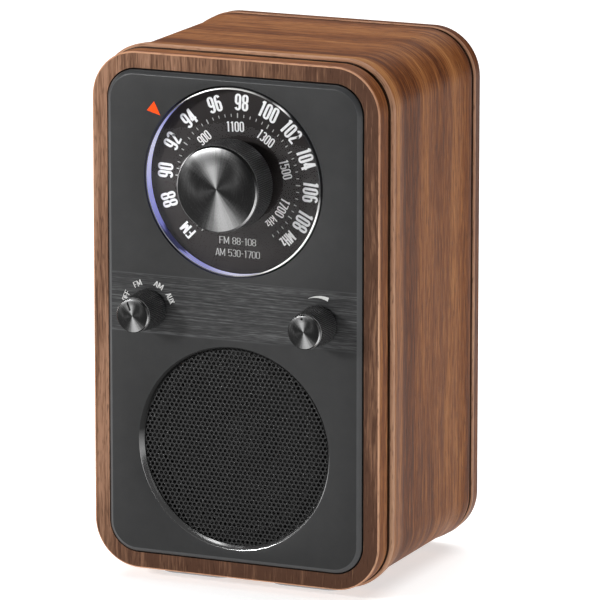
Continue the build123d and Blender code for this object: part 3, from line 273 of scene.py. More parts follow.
def charcoal(name, band):
    """Satin charcoal plastic with a very fine grain, and a hairline band between dial and speaker."""
    n = Nodes(name)
    place = n.place()
    grain = n.noise(n.scaled(place, 5200.0), 2.0, 0.6)
    cloud = n.noise(n.scaled(place, 160.0), 3.0)
    shade = n.math("MULTIPLY_ADD", grain, 0.35, n.math("MULTIPLY", cloud, 0.25))
    plain = n.ramp(shade, [(0.15, (0.014, 0.0142, 0.0145)), (0.45, (0.025, 0.0253, 0.0256))])
    if not band:
        n.bump(grain, 0.25, 0.00008)
        return n.finish(plain, n.span(grain, 0.3, 0.7, 0.44, 0.58), Specular_IOR_Level=0.22)
    parts = n.split(place)
    low = BASE_Z + BAND_LOW_Z * MM
    high = BASE_Z + BAND_HIGH_Z * MM
    soft, line = 0.2 * MM, 0.35 * MM
    inside = n.math("MULTIPLY", n.span(parts[2], low, low + soft), n.span(parts[2], high, high - soft))
    long_hair = n.join(n.math("MULTIPLY", parts[0], 12.0), 0.0, n.math("MULTIPLY", parts[2], 1700.0))
    short_hair = n.join(n.math("MULTIPLY", parts[0], 170.0), 5.0, n.math("MULTIPLY", parts[2], 2300.0))
    hair = n.noise(long_hair, 2.0, 0.7)
    fleck = n.noise(short_hair, 2.0, 0.6)
    lines = n.math("MULTIPLY_ADD", fleck, 0.50, n.math("MULTIPLY", hair, 0.60))
    tints = [(0.40, (0.010, 0.0102, 0.0105)), (0.55, (0.026, 0.0264, 0.027)), (0.74, (0.090, 0.091, 0.092))]
    brushed = n.ramp(lines, tints)
    edge_low = n.span(n.math("ABSOLUTE", n.math("SUBTRACT", parts[2], low)), line, 0.0)
    edge_high = n.span(n.math("ABSOLUTE", n.math("SUBTRACT", parts[2], high)), line, 0.0)
    edges = n.math("MULTIPLY", n.math("ADD", edge_low, edge_high), n.span(hair, 0.35, 0.6))
    colour = n.mix(inside, plain, brushed)
    colour = n.mix(n.math("MULTIPLY", edges, 0.40), colour, (0.09, 0.092, 0.095))
    height = n.math("MULTIPLY_ADD", n.math("MULTIPLY", lines, inside), 2.0, n.math("MULTIPLY", grain, 0.5))
    n.bump(height, 0.3, 0.00010)
    return n.finish(colour, n.span(grain, 0.3, 0.7, 0.44, 0.58), Specular_IOR_Level=0.22)


def speckled(name, dark, light, size_mm, roughness, metallic=0.0, bump=0.2, **numbers):
    """A solid colour broken by fine mottling at a real size, with matching relief."""
    n = Nodes(name)
    place = n.place()
    fine = n.noise(n.scaled(place, 1000.0 / size_mm), 3.0, 0.6)
    broad = n.noise(n.scaled(place, 1000.0 / (size_mm * 30)), 2.0)
    mottle = n.math("MULTIPLY_ADD", fine, 0.6, n.math("MULTIPLY", broad, 0.4))
    colour = n.ramp(mottle, [(0.3, dark), (0.7, light)])
    n.bump(fine, bump, 0.0001)
    rough = n.span(fine, 0.3, 0.7, roughness - 0.05, roughness + 0.07)
    return n.finish(colour, rough, Metallic=metallic, **numbers)


def rim_painted_light(name, dark, light, roughness):
    """Metal rim whose colour turns from black above to bright metal below: painted shade on the upper half,
    painted highlight on the lower half.
    """
    n = Nodes(name)
    place = n.place()
    fine = n.noise(n.scaled(place, 4000.0), 3.0, 0.6)
    height = n.split(place)[2]
    low, high = BASE_Z + (SPEAKER_Z - 16) * MM, BASE_Z + (SPEAKER_Z + 4) * MM
    share = n.math("MULTIPLY_ADD", n.math("SUBTRACT", fine, 0.5), 0.12, n.span(height, high, low))
    n.bump(fine, 0.05, 0.0001)
    return n.finish(n.ramp(share, [(0.0, dark), (1.0, light)]), roughness, Metallic=1.0)


def spun_metal_painted_wedges(name, node, dark, light, roughness, lobe=-16.0):
    """Gunmetal turned on a lathe: fine rings round the knob's axis catch light as two wedges through the
    anisotropic gloss, and the wedges are also painted into the colour as painted highlights.
    """
    n = Nodes(name)
    dx, dz, turn = n.clock(*centre_of(node))
    radius = n.math("SQRT", n.math("MULTIPLY_ADD", dx, dx, n.math("MULTIPLY", dz, dz)))

    def layer(across, around, seed):
        ring, sweep = n.math("MULTIPLY", radius, across), n.math("MULTIPLY", turn, around)
        return n.noise(n.join(ring, sweep, seed), 2.0, 0.6)

    rings = layer(3600.0, 1.5, 1.0)
    scratch = layer(2600.0, 30.0, 4.0)
    spread = layer(60.0, 9.0, 8.0)
    leaning = n.math("MULTIPLY_ADD", n.math("SUBTRACT", spread, 0.5), 0.30, turn)
    # Painted highlight: two bright wedges in the colour, centred on the lobe's clock angle.
    facing = n.math("ABSOLUTE", n.math("COSINE", n.math("SUBTRACT", leaning, math.radians(lobe))))
    painted_wedge = n.math("MULTIPLY", n.math("POWER", facing, 12.0), n.span(scratch, 0.2, 0.7, 0.75, 1.15))
    grain = n.math("MULTIPLY_ADD", rings, 0.5, n.math("MULTIPLY", scratch, 0.5))
    level = n.math("MULTIPLY_ADD", n.math("SUBTRACT", grain, 0.5), 0.35, painted_wedge)
    colour = n.ramp(level, [(0.0, dark), (1.0, light)])
    n.bump(grain, 0.10, 0.00005)
    tangent = n.new("ShaderNodeTangent", direction_type="RADIAL", axis="Y")
    n.link(tangent.outputs[0], n.bsdf.inputs["Tangent"])
    rough = n.span(scratch, 0.3, 0.7, roughness - 0.04, roughness + 0.06)
    return n.finish(colour, rough, Metallic=1.0, Anisotropic=0.8)


def clear_acrylic(name):
    """Polished clear acrylic: mostly lets light straight through, and mirrors by its angle."""
    n = Nodes(name)
    clear = n.new("ShaderNodeBsdfTransparent")
    clear.inputs["Color"].default_value = (0.98, 0.98, 0.99, 1.0)
    gloss = n.new("ShaderNodeBsdfGlossy")
    gloss.inputs["Roughness"].default_value = 0.03
    fresnel = n.new("ShaderNodeFresnel")
    fresnel.inputs["IOR"].default_value = 1.49
    smear = n.noise(n.scaled(n.place(), 260.0), 3.0)
    share = n.math("MULTIPLY", fresnel.outputs[0], n.span(smear, 0.3, 0.7, 0.35, 0.5))
    mixer = n.new("ShaderNodeMixShader")
    n.link(share, mixer.inputs[0])
    n.link(clear.outputs[0], mixer.inputs[1])
    n.link(gloss.outputs[0], mixer.inputs[2])
    n.link(mixer.outputs[0], n.tree.nodes["Material Output"].inputs["Surface"])
    n.tree.nodes.remove(n.bsdf)
    return n.material


def lens_edge_painted_glow(name, stops, strength, roughness):
    """Painted light in the acrylic's turned edge: a glowing colour for its highlights and reflections.
    It changes round the rim: stops are given by the clock angle, from -180 at the bottom through 0 at the top
    to 180."""
    n = Nodes(name)
    turn = n.clock(DIAL_X, DIAL_Z)[2]
    depth = n.math("MULTIPLY", n.split(n.place())[1], 500.0)
    waver = n.noise(n.join(n.math("MULTIPLY", turn, 5.0), depth, 2.0), 3.0, 0.6)
    share = n.math("MULTIPLY_ADD", turn, 1 / (2 * math.pi), 0.5)
    share = n.math("MULTIPLY_ADD", n.math("SUBTRACT", waver, 0.5), 0.05, share)
    colour = n.ramp(share, [((angle + 180) / 360, tint) for angle, tint in stops])
    n.link(colour, n.bsdf.inputs["Emission Color"])
    return n.finish(colour, roughness, Emission_Strength=strength, Specular_IOR_Level=0.6)


def paint(name, colour, roughness=0.5):
    """Printed ink with slightly uneven cover."""
    n = Nodes(name)
    cover = n.noise(n.scaled(n.place(), 1400.0), 3.0)
    darker = tuple(c * 0.86 for c in colour)
    shade = n.ramp(cover, [(0.3, darker), (0.6, colour)])
    n.bump(cover, 0.1, 0.00003)
    return n.finish(shade, roughness, Specular_IOR_Level=0.15)


def grey(level):
    return (level, level, level)


# ---- palette
GOLDEN, MIDDLE, UMBER = (0.34, 0.136, 0.044), (0.190, 0.062, 0.018), (0.092, 0.027, 0.009)
# Broad figure of the veneer: (distance back from the face, how golden).
BODY_ZONES = [(9, 0.80), (18, 0.74), (24, 0.16), (33, 0.42), (45, 0.66)]
BODY_ZONES += [(56, 0.38), (72, 0.74), (82, 0.36), (92, 0.30)]
BAND_ZONES = [(0, 0.62), (8, 0.50), (84, 0.45), (93, 0.22)]
WOOD_STOPS = [(0.30, UMBER), (0.47, MIDDLE), (0.66, GOLDEN), (0.85, (0.46, 0.235, 0.09))]
# The lip stops are lighter than the body wood: painted highlight on the rounded lips and eased edges.
LIP_HIGHLIGHT_STOPS = [(0.30, (0.32, 0.155, 0.088)), (0.50, (0.42, 0.225, 0.135)), (0.70, (0.50, 0.29, 0.18))]
FACE_STOPS = [(0.28, (0.075, 0.035, 0.021)), (0.45, (0.165, 0.084, 0.050)), (0.61, (0.275, 0.150, 0.094))]
WOOD_SIDE = walnut("walnut_side", WOOD_STOPS, "wrap", BODY_ZONES)
WOOD_BAND = walnut("walnut_band", WOOD_STOPS, "wrap", BAND_ZONES)
WOOD_LIP_HIGHLIGHT = walnut("walnut_lip_painted_highlight", LIP_HIGHLIGHT_STOPS, "wrap")
# Eased front edge: the lip colours made lighter still, a painted highlight.
WOOD_EDGE_HIGHLIGHT = walnut("walnut_edge_painted_highlight", LIP_HIGHLIGHT_STOPS, "wrap", shade=1.25)
WOOD_FACE = walnut("walnut_face", FACE_STOPS, "face")
# Groove colour is the face wood darkened to a quarter: painted shade in the seams.
WOOD_GROOVE_SHADE = walnut("walnut_groove_painted_shade", FACE_STOPS, "wrap", shade=0.25)
PANEL = charcoal("charcoal_panel", band=True)
PANEL_PLAIN = charcoal("charcoal_plain", band=False)
# Bevel colour lighter than the panel: painted highlight on the panel's edge.
PANEL_EDGE_HIGHLIGHT = speckled("panel_edge_painted_highlight", (0.026, 0.027, 0.028), (0.042, 0.043, 0.045), 0.3, 0.34, bump=0.1)
# Painted light on the speaker rim: dark at the top, bright at the bottom.
RIM = rim_painted_light("speaker_rim", grey(0.020), grey(0.42), 0.20)
GRILLE = speckled("grille_black", grey(0.004), grey(0.015), 0.22, 0.22, bump=1.0, Specular_IOR_Level=0.30)
# Hole bevels lighter than the sheet: painted highlight round every hole.
GRILLE_EDGE_HIGHLIGHT = speckled("grille_edge_painted_highlight", grey(0.06), grey(0.16), 0.3, 0.30, metallic=0.9, bump=0.1)
DIAL_BROWN, DIAL_UMBER = (0.0225, 0.0185, 0.0175), (0.0185, 0.0150, 0.0142)
DIAL_FACE = speckled("dial_face", DIAL_UMBER, DIAL_BROWN, 6.0, 0.6, bump=0.0, Specular_IOR_Level=0.15)
WHITE_INK = paint("white_ink", (0.93, 0.93, 0.92))
SCRIPT_INK = paint("script_ink", (0.50, 0.50, 0.48))
LABEL_INK = paint("label_ink", (0.62, 0.62, 0.61))
RED_INK = paint("pointer_ink", (0.95, 0.072, 0.0), 0.60)
BLACK_INK = paint("knob_mark", (0.004, 0.004, 0.004), 0.5)
KNOB_BLACK, KNOB_GREY = (0.022, 0.022, 0.023), (0.040, 0.040, 0.041)
KNOB_SIDE = speckled("knob_side", KNOB_BLACK, KNOB_GREY, 0.15, 0.30, metallic=0.4, bump=0.2)
# Ridge colour lighter than the knob side: painted highlight on the knurl ridges.
KNOB_RIDGE_HIGHLIGHT = speckled("knob_ridge_painted_highlight", grey(0.13), grey(0.22), 0.3, 0.28, metallic=0.5, bump=0.1)
# Bead colour: painted highlight on the knob's front chamfer.
KNOB_BEAD_HIGHLIGHT = speckled("knob_bead_painted_highlight", grey(0.10), grey(0.30), 0.3, 0.28, metallic=1.0, bump=0.2)
RUBBER = speckled("foot_rubber", (0.40, 0.41, 0.42), (0.50, 0.51, 0.52), 0.3, 0.7)
ACRYLIC = clear_acrylic("clear_acrylic")
NAVY, INDIGO = (0.010, 0.012, 0.085), (0.20, 0.21, 0.60)
LAVENDER, PALE = (0.36, 0.37, 0.80), (0.74, 0.74, 0.96)
COAL, BRIGHT = (0.012, 0.012, 0.013), (0.85, 0.85, 0.84)
WALL_GLOW = [(-178, PALE), (-158, LAVENDER), (-146, LAVENDER), (-141, NAVY), (-126, NAVY)]
WALL_GLOW += [(-121, INDIGO), (-100, LAVENDER), (-72, PALE), (-50, LAVENDER)]
WALL_GLOW += [(-36, COAL), (150, COAL), (172, PALE)]
# The lens wall and bevel glow: painted highlights and reflections round the rim.
LENS_WALL_PAINTED = lens_edge_painted_glow("lens_wall_painted_light", WALL_GLOW, 0.62, 0.35)
EDGE_GLOW = [(-175, (0.10, 0.10, 0.12)), (-60, COAL), (-34, COAL), (-22, (0.35, 0.35, 0.34))]
EDGE_GLOW += [(12, (0.40, 0.40, 0.38)), (26, COAL), (34, BRIGHT), (44, COAL), (96, COAL)]
EDGE_GLOW += [(108, BRIGHT), (150, BRIGHT), (166, grey(0.20))]
LENS_BEVEL_PAINTED = lens_edge_painted_glow("lens_bevel_painted_light", EDGE_GLOW, 0.35, 0.2)


# ---- mesh helpers
def add_piece(name, verts, faces, materials, body, hides=(), face_slots=None, uvs=None, smooth=35.0):
    """Make a mesh piece in the row frame, smooth it below an angle, and fix it to its body."""
    mesh = bpy.data.meshes.new(name)
    mesh.from_pydata([tuple(v) for v in verts], [], faces)
    for material in materials:
        mesh.materials.append(material)
    if face_slots:
        mesh.polygons.foreach_set("material_index", face_slots)
    if uvs:
        layer = mesh.uv_layers.new(name="wrap")
        layer.data.foreach_set("uv", [c for uv in uvs for c in uv])
    if smooth:
        mesh.shade_smooth()
        mesh.set_sharp_from_angle(angle=math.radians(smooth))
    mesh.validate()
    obj = bpy.data.objects.new(name, mesh)
    bpy.context.scene.collection.objects.link(obj)
    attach(obj, body)
    if hides:
        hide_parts(*hides)
    return obj


def arc(centre, radius, start, end, steps):
    """Points of an arc in the section plane, with angles in degrees from the first axis."""
    angles = [math.radians(start + (end - start) * k / steps) for k in range(steps + 1)]
    return [(centre[0] + radius * math.cos(a), centre[1] + radius * math.sin(a)) for a in angles]


def ease(start, end, steps):
    """A smooth S from start to end, level at both, along the second axis."""
    points = []
    for k in range(steps + 1):
        t = k / steps
        rise = t * t * (3 - 2 * t)
        points.append((start[0] + (end[0] - start[0]) * rise, start[1] + (end[1] - start[1]) * t))
    return points


def outline_stations(radius, corner_steps=20, side_steps=14):
    """Stations round the face outline: corner centre, outward direction and length so far."""
    half_w = FACE_WIDTH / 2 - radius
    half_h = FACE_HEIGHT / 2 - radius
    corners = [(half_w, half_h, 0), (-half_w, half_h, 90), (-half_w, -half_h, 180), (half_w, -half_h, 270)]
    stations = []
    run = 0.0
    for index, (cx, cz, first) in enumerate(corners):
        for k in range(corner_steps + 1):
            angle = math.radians(first + 90 * k / corner_steps)
            stations.append((cx, MID_Z + cz, angle, run + radius * math.pi / 2 * k / corner_steps))
        run += radius * math.pi / 2
        next_x, next_z, _ = corners[(index + 1) % 4]
        side = abs(next_x - cx) + abs(next_z - cz)
        angle = math.radians(first + 90)
        for k in range(1, side_steps):
            part = k / side_steps
            x = cx + (next_x - cx) * part
            z = cz + (next_z - cz) * part
            stations.append((x, MID_Z + z, angle, run + side * part))
        run += side
    start = next(k for k, place in enumerate(stations) if place[2] == math.radians(270) and place[0] > 0)
    offset = stations[start][3]
    turned = stations[start:] + stations[:start]
    return [(x, z, angle, (along - offset) % run) for x, z, angle, along in turned], run


def wood_ring(name, section, body, hides):
    """Sweep a closed section of (out, y, finish) points round the outline. Each point's finish
    is for the strip that follows it."""
    finishes = [WOOD_SIDE, WOOD_FACE, WOOD_GROOVE_SHADE, WOOD_EDGE_HIGHLIGHT, WOOD_LIP_HIGHLIGHT, WOOD_BAND]
    stations, total = outline_stations(FACE_RADIUS)
    lengths = [0.0]
    for a, b in zip(section, section[1:] + section[:1]):
        lengths.append(lengths[-1] + math.dist(a[:2], b[:2]))
    verts = []
    for cx, cz, angle, _ in stations:
        for out, y, _ in section:
            reach = FACE_RADIUS + out
            verts.append(at(cx + reach * math.cos(angle), y, cz + reach * math.sin(angle)))
    count = len(section)
    faces, slots, uvs = [], [], []
    for i in range(len(stations)):
        j = (i + 1) % len(stations)
        s0 = stations[i][3] * MM
        s1 = (stations[j][3] if j else total) * MM
        for k in range(count):
            m = (k + 1) % count
            faces.append((i * count + k, j * count + k, j * count + m, i * count + m))
            slots.append(finishes.index(section[k][2]))
            t0, t1 = lengths[k] * MM, lengths[k + 1] * MM
            uvs += [(s0, t0), (s1, t0), (s1, t1), (s0, t1)]
    return add_piece(name, verts, faces, finishes, body, hides, slots, uvs, 40.0)


def dressed(points, finish):
    """Section points that all share one finish."""
    return [(out, y, finish) for out, y in points]


def lathe(name, profile, x, z, segments, materials, body, slot, hides=(), bands=None, teeth=0, smooth=35.0):
    """Turn (radius, y) points about an axis along Y. A third number is how deep knurling cuts there,
    and bands gives each stretch of the profile its material. Every tooth is four steps round: its
    first step is the ridge, which takes the third material where the knurling is of even depth."""
    steps = teeth * 4 if teeth else segments
    cuts = [point[2:] for point in profile]
    verts, rows = [], []
    for point in profile:
        radius, y = point[0], point[1]
        depth = point[2] if len(point) > 2 else 0.0
        if radius < 1e-6:
            rows.append([len(verts)] * steps)
            verts.append(at(x, y, z))
            continue
        row = []
        for k in range(steps):
            angle = 2 * math.pi * k / steps
            reach = radius - (depth if k % 4 in (2, 3) else 0.0)
            row.append(len(verts))
            verts.append(at(x + reach * math.sin(angle), y, z + reach * math.cos(angle)))
        rows.append(row)
    faces, slots = [], []
    for index, (a, b) in enumerate(zip(rows, rows[1:])):
        for k in range(steps):
            m = (k + 1) % steps
            corner = [a[k], a[m], b[m], b[k]]
            face = [v for i, v in enumerate(corner) if v not in corner[:i]]
            faces.append(face)
            # Ridge faces take the painted highlight finish.
            ridge = teeth and k % 4 == 0 and bands[index] == 0 and cuts[index] == cuts[index + 1]
            slots.append(2 if ridge else bands[index] if bands else 0)
    return add_piece(name, verts, faces, materials, body, hides, slots, None, smooth)


def circle_loop(x, z, radius, steps):
    """x and z of points round a circle."""
    turn = [2 * math.pi * k / steps for k in range(steps)]
    return [(x + radius * math.cos(a), z + radius * math.sin(a)) for a in turn]


def outline_loop(out):
    """x and z of points round the face outline, a distance outward."""
    stations, _ = outline_stations(FACE_RADIUS)
    reach = FACE_RADIUS + out
    return [(cx + reach * math.cos(a), cz + reach * math.sin(a)) for cx, cz, a, _ in stations]


# ---- wooden cabinet
def front_ring():
    """Flat face with an eased outer edge, then the front band and the seam behind it."""
    ease_radius, back_radius = 0.6, 0.3
    section = dressed([(OPENING_OUT, 0.0), (-0.15, 0.0)], WOOD_FACE)
    section += dressed(arc((BAND_OUT - ease_radius, ease_radius), ease_radius, -84, 0, 6), WOOD_EDGE_HIGHLIGHT)
    section[-1] = (BAND_OUT, ease_radius, WOOD_BAND)
    turn_in = arc((BAND_OUT - back_radius, FRONT_LAND_END_Y - back_radius), back_radius, 0, 90, 4)
    section += dressed([(BAND_OUT, 7.3)] + turn_in, WOOD_BAND)
    seam = [(GROOVE_OUT, FRONT_LAND_END_Y), (GROOVE_OUT, FRONT_SEAM_Y), (OPENING_OUT, FRONT_SEAM_Y)]
    section += dressed(seam, WOOD_GROOVE_SHADE)
    wood_ring("walnut_front_ring", section, "cabinet", ["front_frame"])


def sleeve():
    """Wrapped body: proud at both ends, with a shallow waist between and a rounded lip at each seam."""
    waist_out = 0.45
    lip_radius, lip_y = 1.3, 10.4
    shoulder_out = waist_out + lip_radius
    rear_radius, rear_out, rear_lip_y = 0.8, 1.15, 84.3
    section = dressed([(SLEEVE_INSIDE_OUT, FRONT_SEAM_Y), (GROOVE_OUT, FRONT_SEAM_Y)], WOOD_GROOVE_SHADE)
    section += dressed([(GROOVE_OUT, lip_y - lip_radius)], WOOD_GROOVE_SHADE)
    section += dressed(arc((waist_out, lip_y), lip_radius, -90, -80, 2), WOOD_GROOVE_SHADE)
    section += dressed(arc((waist_out, lip_y), lip_radius, -73, 0, 8), WOOD_LIP_HIGHLIGHT)
    section += dressed(ease((shoulder_out, lip_y), (waist_out, 25.0), 12)[1:], WOOD_SIDE)
    section += dressed([(waist_out, 42.0), (waist_out, 58.0)], WOOD_SIDE)
    section += dressed(ease((waist_out, 74.0), (rear_out, rear_lip_y), 10), WOOD_SIDE)
    section += dressed(arc((rear_out - rear_radius, rear_lip_y), rear_radius, 0, 90, 6)[1:], WOOD_LIP_HIGHLIGHT)
    section += dressed([(GROOVE_OUT, rear_lip_y + rear_radius), (GROOVE_OUT, REAR_SEAM_Y)], WOOD_GROOVE_SHADE)
    section += dressed([(SLEEVE_INSIDE_OUT, REAR_SEAM_Y)], WOOD_GROOVE_SHADE)
    wood_ring("walnut_sleeve", section, "cabinet", ["cabinet_body"])


def rear_ring():
    """Rounded lip behind the rear seam, then the rear band with an eased back edge."""
    lip_radius, lip_out, lip_y = 1.1, 0.2, 87.7
    back_radius = 0.8
    seam = [(OPENING_OUT, REAR_SEAM_Y), (GROOVE_OUT, REAR_SEAM_Y), (GROOVE_OUT, lip_y - lip_radius)]
    section = dressed(seam, WOOD_GROOVE_SHADE)
    section += dressed(arc((lip_out, lip_y), lip_radius, -90, -60, 3), WOOD_GROOVE_SHADE)
    section += dressed(arc((lip_out, lip_y), lip_radius, -50, 0, 5), WOOD_LIP_HIGHLIGHT)
    section += dressed([(1.15, 88.6), (1.0, 89.5)], WOOD_BAND)
    section += dressed(arc((lip_out, BACK_Y - back_radius), back_radius, 0, 90, 6), WOOD_BAND)
    section += dressed([(OPENING_OUT, BACK_Y)], WOOD_GROOVE_SHADE)
    wood_ring("walnut_rear_ring", section, "cabinet", ["rear_frame"])


# ---- front panel
def front_panel():
    """Panel with a bevelled edge, dial well, bright speaker rim and control holes."""
    finishes = [PANEL, PANEL_EDGE_HIGHLIGHT, RIM, PANEL_PLAIN]
    chamfer = ((-7.6, 0.0), (-7.45, 0.03), (-6.25, 0.95), (-6.05, 1.2), (-6.0, 1.6))
    edge = [(out, PANEL_Y + drop) for out, drop in chamfer] + [(-6.0, FRONT_SEAM_Y)]
    well_wall = [(0.20, PANEL_Y), (0.05, PANEL_Y + 0.05), (0.0, PANEL_Y + 0.2), (0.0, 6.0)]
    rim_slope = [(SPEAKER_RIM_RADIUS, PANEL_Y), (37.55, PANEL_Y + 0.12), (36.75, -0.45), (36.35, 0.1)]
    rim_slope += [(SPEAKER_MOUTH_RADIUS, 0.6), (37.4, 0.6)]
    bm = bmesh.new()

    def loop(points, y):
        return [bm.verts.new(at(x, y, z)) for x, z in points]

    def skin(loops, finish_of):
        for index, (a, b) in enumerate(zip(loops, loops[1:])):
            for k in range(len(a)):
                m = (k + 1) % len(a)
                face = bm.faces.new((a[k], a[m], b[m], b[k]))
                face.material_index = finishes.index(finish_of(index))

    def round_wall(x, z, profile, steps, finish_of):
        loops = [loop(circle_loop(x, z, radius, steps), y) for radius, y in profile]
        skin(loops, finish_of)
        return loops[0]

    outer = [loop(outline_loop(out), y) for out, y in edge]
    skin(outer, lambda index: PANEL_EDGE_HIGHLIGHT if index < 4 else PANEL_PLAIN)
    rings = [outer[0]]
    well_profile = [(WELL_RADIUS + wider, y) for wider, y in well_wall]
    rings.append(round_wall(DIAL_X, DIAL_Z, well_profile, 160, lambda index: PANEL_PLAIN))
    rim_finish = lambda index: RIM if index < 3 else PANEL_PLAIN
    rings.append(round_wall(SPEAKER_X, SPEAKER_Z, rim_slope, 160, rim_finish))
    hole = [(CONTROL_HOLE_RADIUS, PANEL_Y), (CONTROL_HOLE_RADIUS, 1.4)]
    for x, z in ((VOLUME_X, VOLUME_Z), (SELECTOR_X, SELECTOR_Z)):
        rings.append(round_wall(x, z, hole, 32, lambda index: PANEL_PLAIN))
    edges = [link for ring in rings for link in ring_edges(bm, ring)]
    flat = bmesh.ops.triangle_fill(bm, edges=edges, use_beauty=True, normal=(0, -1, 0))
    for face in [g for g in flat["geom"] if isinstance(g, bmesh.types.BMFace)]:
        face.material_index = finishes.index(PANEL)
    bmesh.ops.recalc_face_normals(bm, faces=bm.faces[:])
    mesh = bpy.data.meshes.new("panel_shell")
    bm.to_mesh(mesh)
    bm.free()
    for material in finishes:
        mesh.materials.append(material)
    mesh.shade_smooth()
    mesh.set_sharp_from_angle(angle=math.radians(28))
    obj = bpy.data.objects.new("panel_shell", mesh)
    bpy.context.scene.collection.objects.link(obj)
    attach(obj, "cabinet")
    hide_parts("front_panel")


def ring_edges(bm, ring):
    """The edges that close a ring of vertices."""
    found = []
    for a, b in zip(ring, ring[1:] + ring[:1]):
        found.append(bm.edges.get((a, b)) or bm.edges.new((a, b)))
    return found


# ---- printing
# Condensed lettering drawn with an elliptical pen, so upright strokes are heavier than level ones.
# Every character is a list of strokes on a field 1 high.
def bowl(x0, x1, z0, z1, first, last):
    """Part of a loop that fills a field, between two clock angles; upright sides stay straight."""
    radius = (x1 - x0) / 2
    middle = (x0 + x1) / 2
    points = []
    steps = max(4, int(abs(last - first) / 15))
    for k in range(steps + 1):
        angle = math.radians(first + (last - first) * k / steps)
        up = math.cos(angle)
        lift = (z1 - radius * 1.1) if up > 1e-6 else (z0 + radius * 1.1)
        if abs(up) <= 1e-6:
            lift = (z0 + z1) / 2
        points.append((middle + radius * math.sin(angle), lift + radius * 1.1 * up))
    return points


def strokes_of(char, x0, x1, z0, z1):
    """Strokes of a character whose pen centre stays within x0 to x1 and z0 to z1."""
    middle = (x0 + x1) / 2
    waist = (z0 + z1) / 2
    low = z0 + (x1 - x0) * 0.55
    high = z1 - (x1 - x0) * 0.55
    foot, cap = z0 - 0.05, z1 + 0.05
    ring = bowl(x0, x1, z0, z1, 0, 360)
    left, right = [(x0, foot), (x0, cap)], [(x1, foot), (x1, cap)]
    bar = [(x0, waist), (x1, waist)]
    table = {
        "0": [ring],
        "O": [ring],
        "1": [
            [(middle + 0.03, foot), (middle + 0.03, cap)],
            [(middle + 0.02, z1), (middle - 0.10, z1 - 0.12)],
        ],
        "2": [
            bowl(x0, x1, z0, z1, -80, 90) + [(x1, high - 0.10), (x0, z0 + 0.10), (x0, z0)],
            [(x0 - 0.05, z0), (x1 + 0.05, z0)],
        ],
        "3": [bowl(x0, x1, waist, z1, -70, 180), bowl(x0, x1, z0, waist, 0, 250)],
        "4": [
            [(middle + 0.06, foot), (middle + 0.06, z1 + 0.04)],
            [(middle + 0.03, z1), (x0 - 0.02, z0 + 0.24)],
            [(x0 - 0.06, z0 + 0.22), (x1 + 0.06, z0 + 0.22)],
        ],
        "5": [
            [(x1 + 0.05, z1), (x0 - 0.05, z1)],
            [(x0, z1), (x0, waist)],
            bowl(x0, x1, z0, waist + 0.12, -80, 250),
        ],
        "6": [bowl(x0, x1, z0, z1, 75, -90) + [(x0, low)], bowl(x0, x1, z0, waist + 0.10, 0, 360)],
        "7": [[(x0 - 0.06, z1), (x1 + 0.05, z1)], [(x1, z1), (x1, z1 - 0.14), (middle - 0.04, foot)]],
        "8": [bowl(x0, x1, waist, z1, 0, 360), bowl(x0, x1, z0, waist, 0, 360)],
        "9": [bowl(x0, x1, waist - 0.10, z1, 0, 360), [(x1, high)] + bowl(x0, x1, z0, z1, 90, 255)],
        "F": [left, [(x0, z1), (x1 + 0.06, z1)], bar],
        "H": [left, right, bar],
        "M": [
            left,
            right,
            [(x0 + 0.02, z1 + 0.03), (middle, z0 + 0.12)],
            [(x1 - 0.02, z1 + 0.03), (middle, z0 + 0.12)],
        ],
        "A": [
            [(x0 - 0.02, foot), (middle - 0.01, z1 + 0.04)],
            [(x1 + 0.02, foot), (middle + 0.01, z1 + 0.04)],
            [(x0 + 0.03, z0 + 0.24), (x1 - 0.03, z0 + 0.24)],
        ],
        "U": [[(x0, cap)] + bowl(x0, x1, z0, z1, 270, 90) + [(x1, cap)]],
        "X": [[(x0, z0 - 0.04), (x1, z1 + 0.04)], [(x0, z1 + 0.04), (x1, z0 - 0.04)]],
        "k": [
            left,
            [(x1, z0 + 0.62), (x0, z0 + 0.26)],
            [(middle - 0.03, z0 + 0.38), (x1, z0 - 0.04)],
        ],
        "z": [
            [(x0 - 0.05, z0 + 0.60), (x1 + 0.05, z0 + 0.60)],
            [(x1, z0 + 0.60), (x0, z0)],
            [(x0 - 0.05, z0), (x1 + 0.05, z0)],
        ],
        "-": [bar],
    }
    return table[char]


def pen_stroke(path, pen_x, pen_z):
    """Flat strip along a path, as wide as an upright ellipse would draw it."""
    edges = []
    for k, (x, z) in enumerate(path):
        before = path[max(k - 1, 0)]
        after = path[min(k + 1, len(path) - 1)]
        dx, dz = after[0] - before[0], after[1] - before[1]
        norm = math.hypot(dx, dz) or 1.0
        nx, nz = -dz / norm, dx / norm
        scale = math.hypot(nx * pen_x, nz * pen_z)
        edges.append(((x + nx * scale, z + nz * scale), (x - nx * scale, z - nz * scale)))
    verts = [corner for pair in edges for corner in pair]
    faces = [(2 * k, 2 * k + 1, 2 * k + 3, 2 * k + 2) for k in range(len(path) - 1)]
    return verts, faces


INK_STEP = 0.004


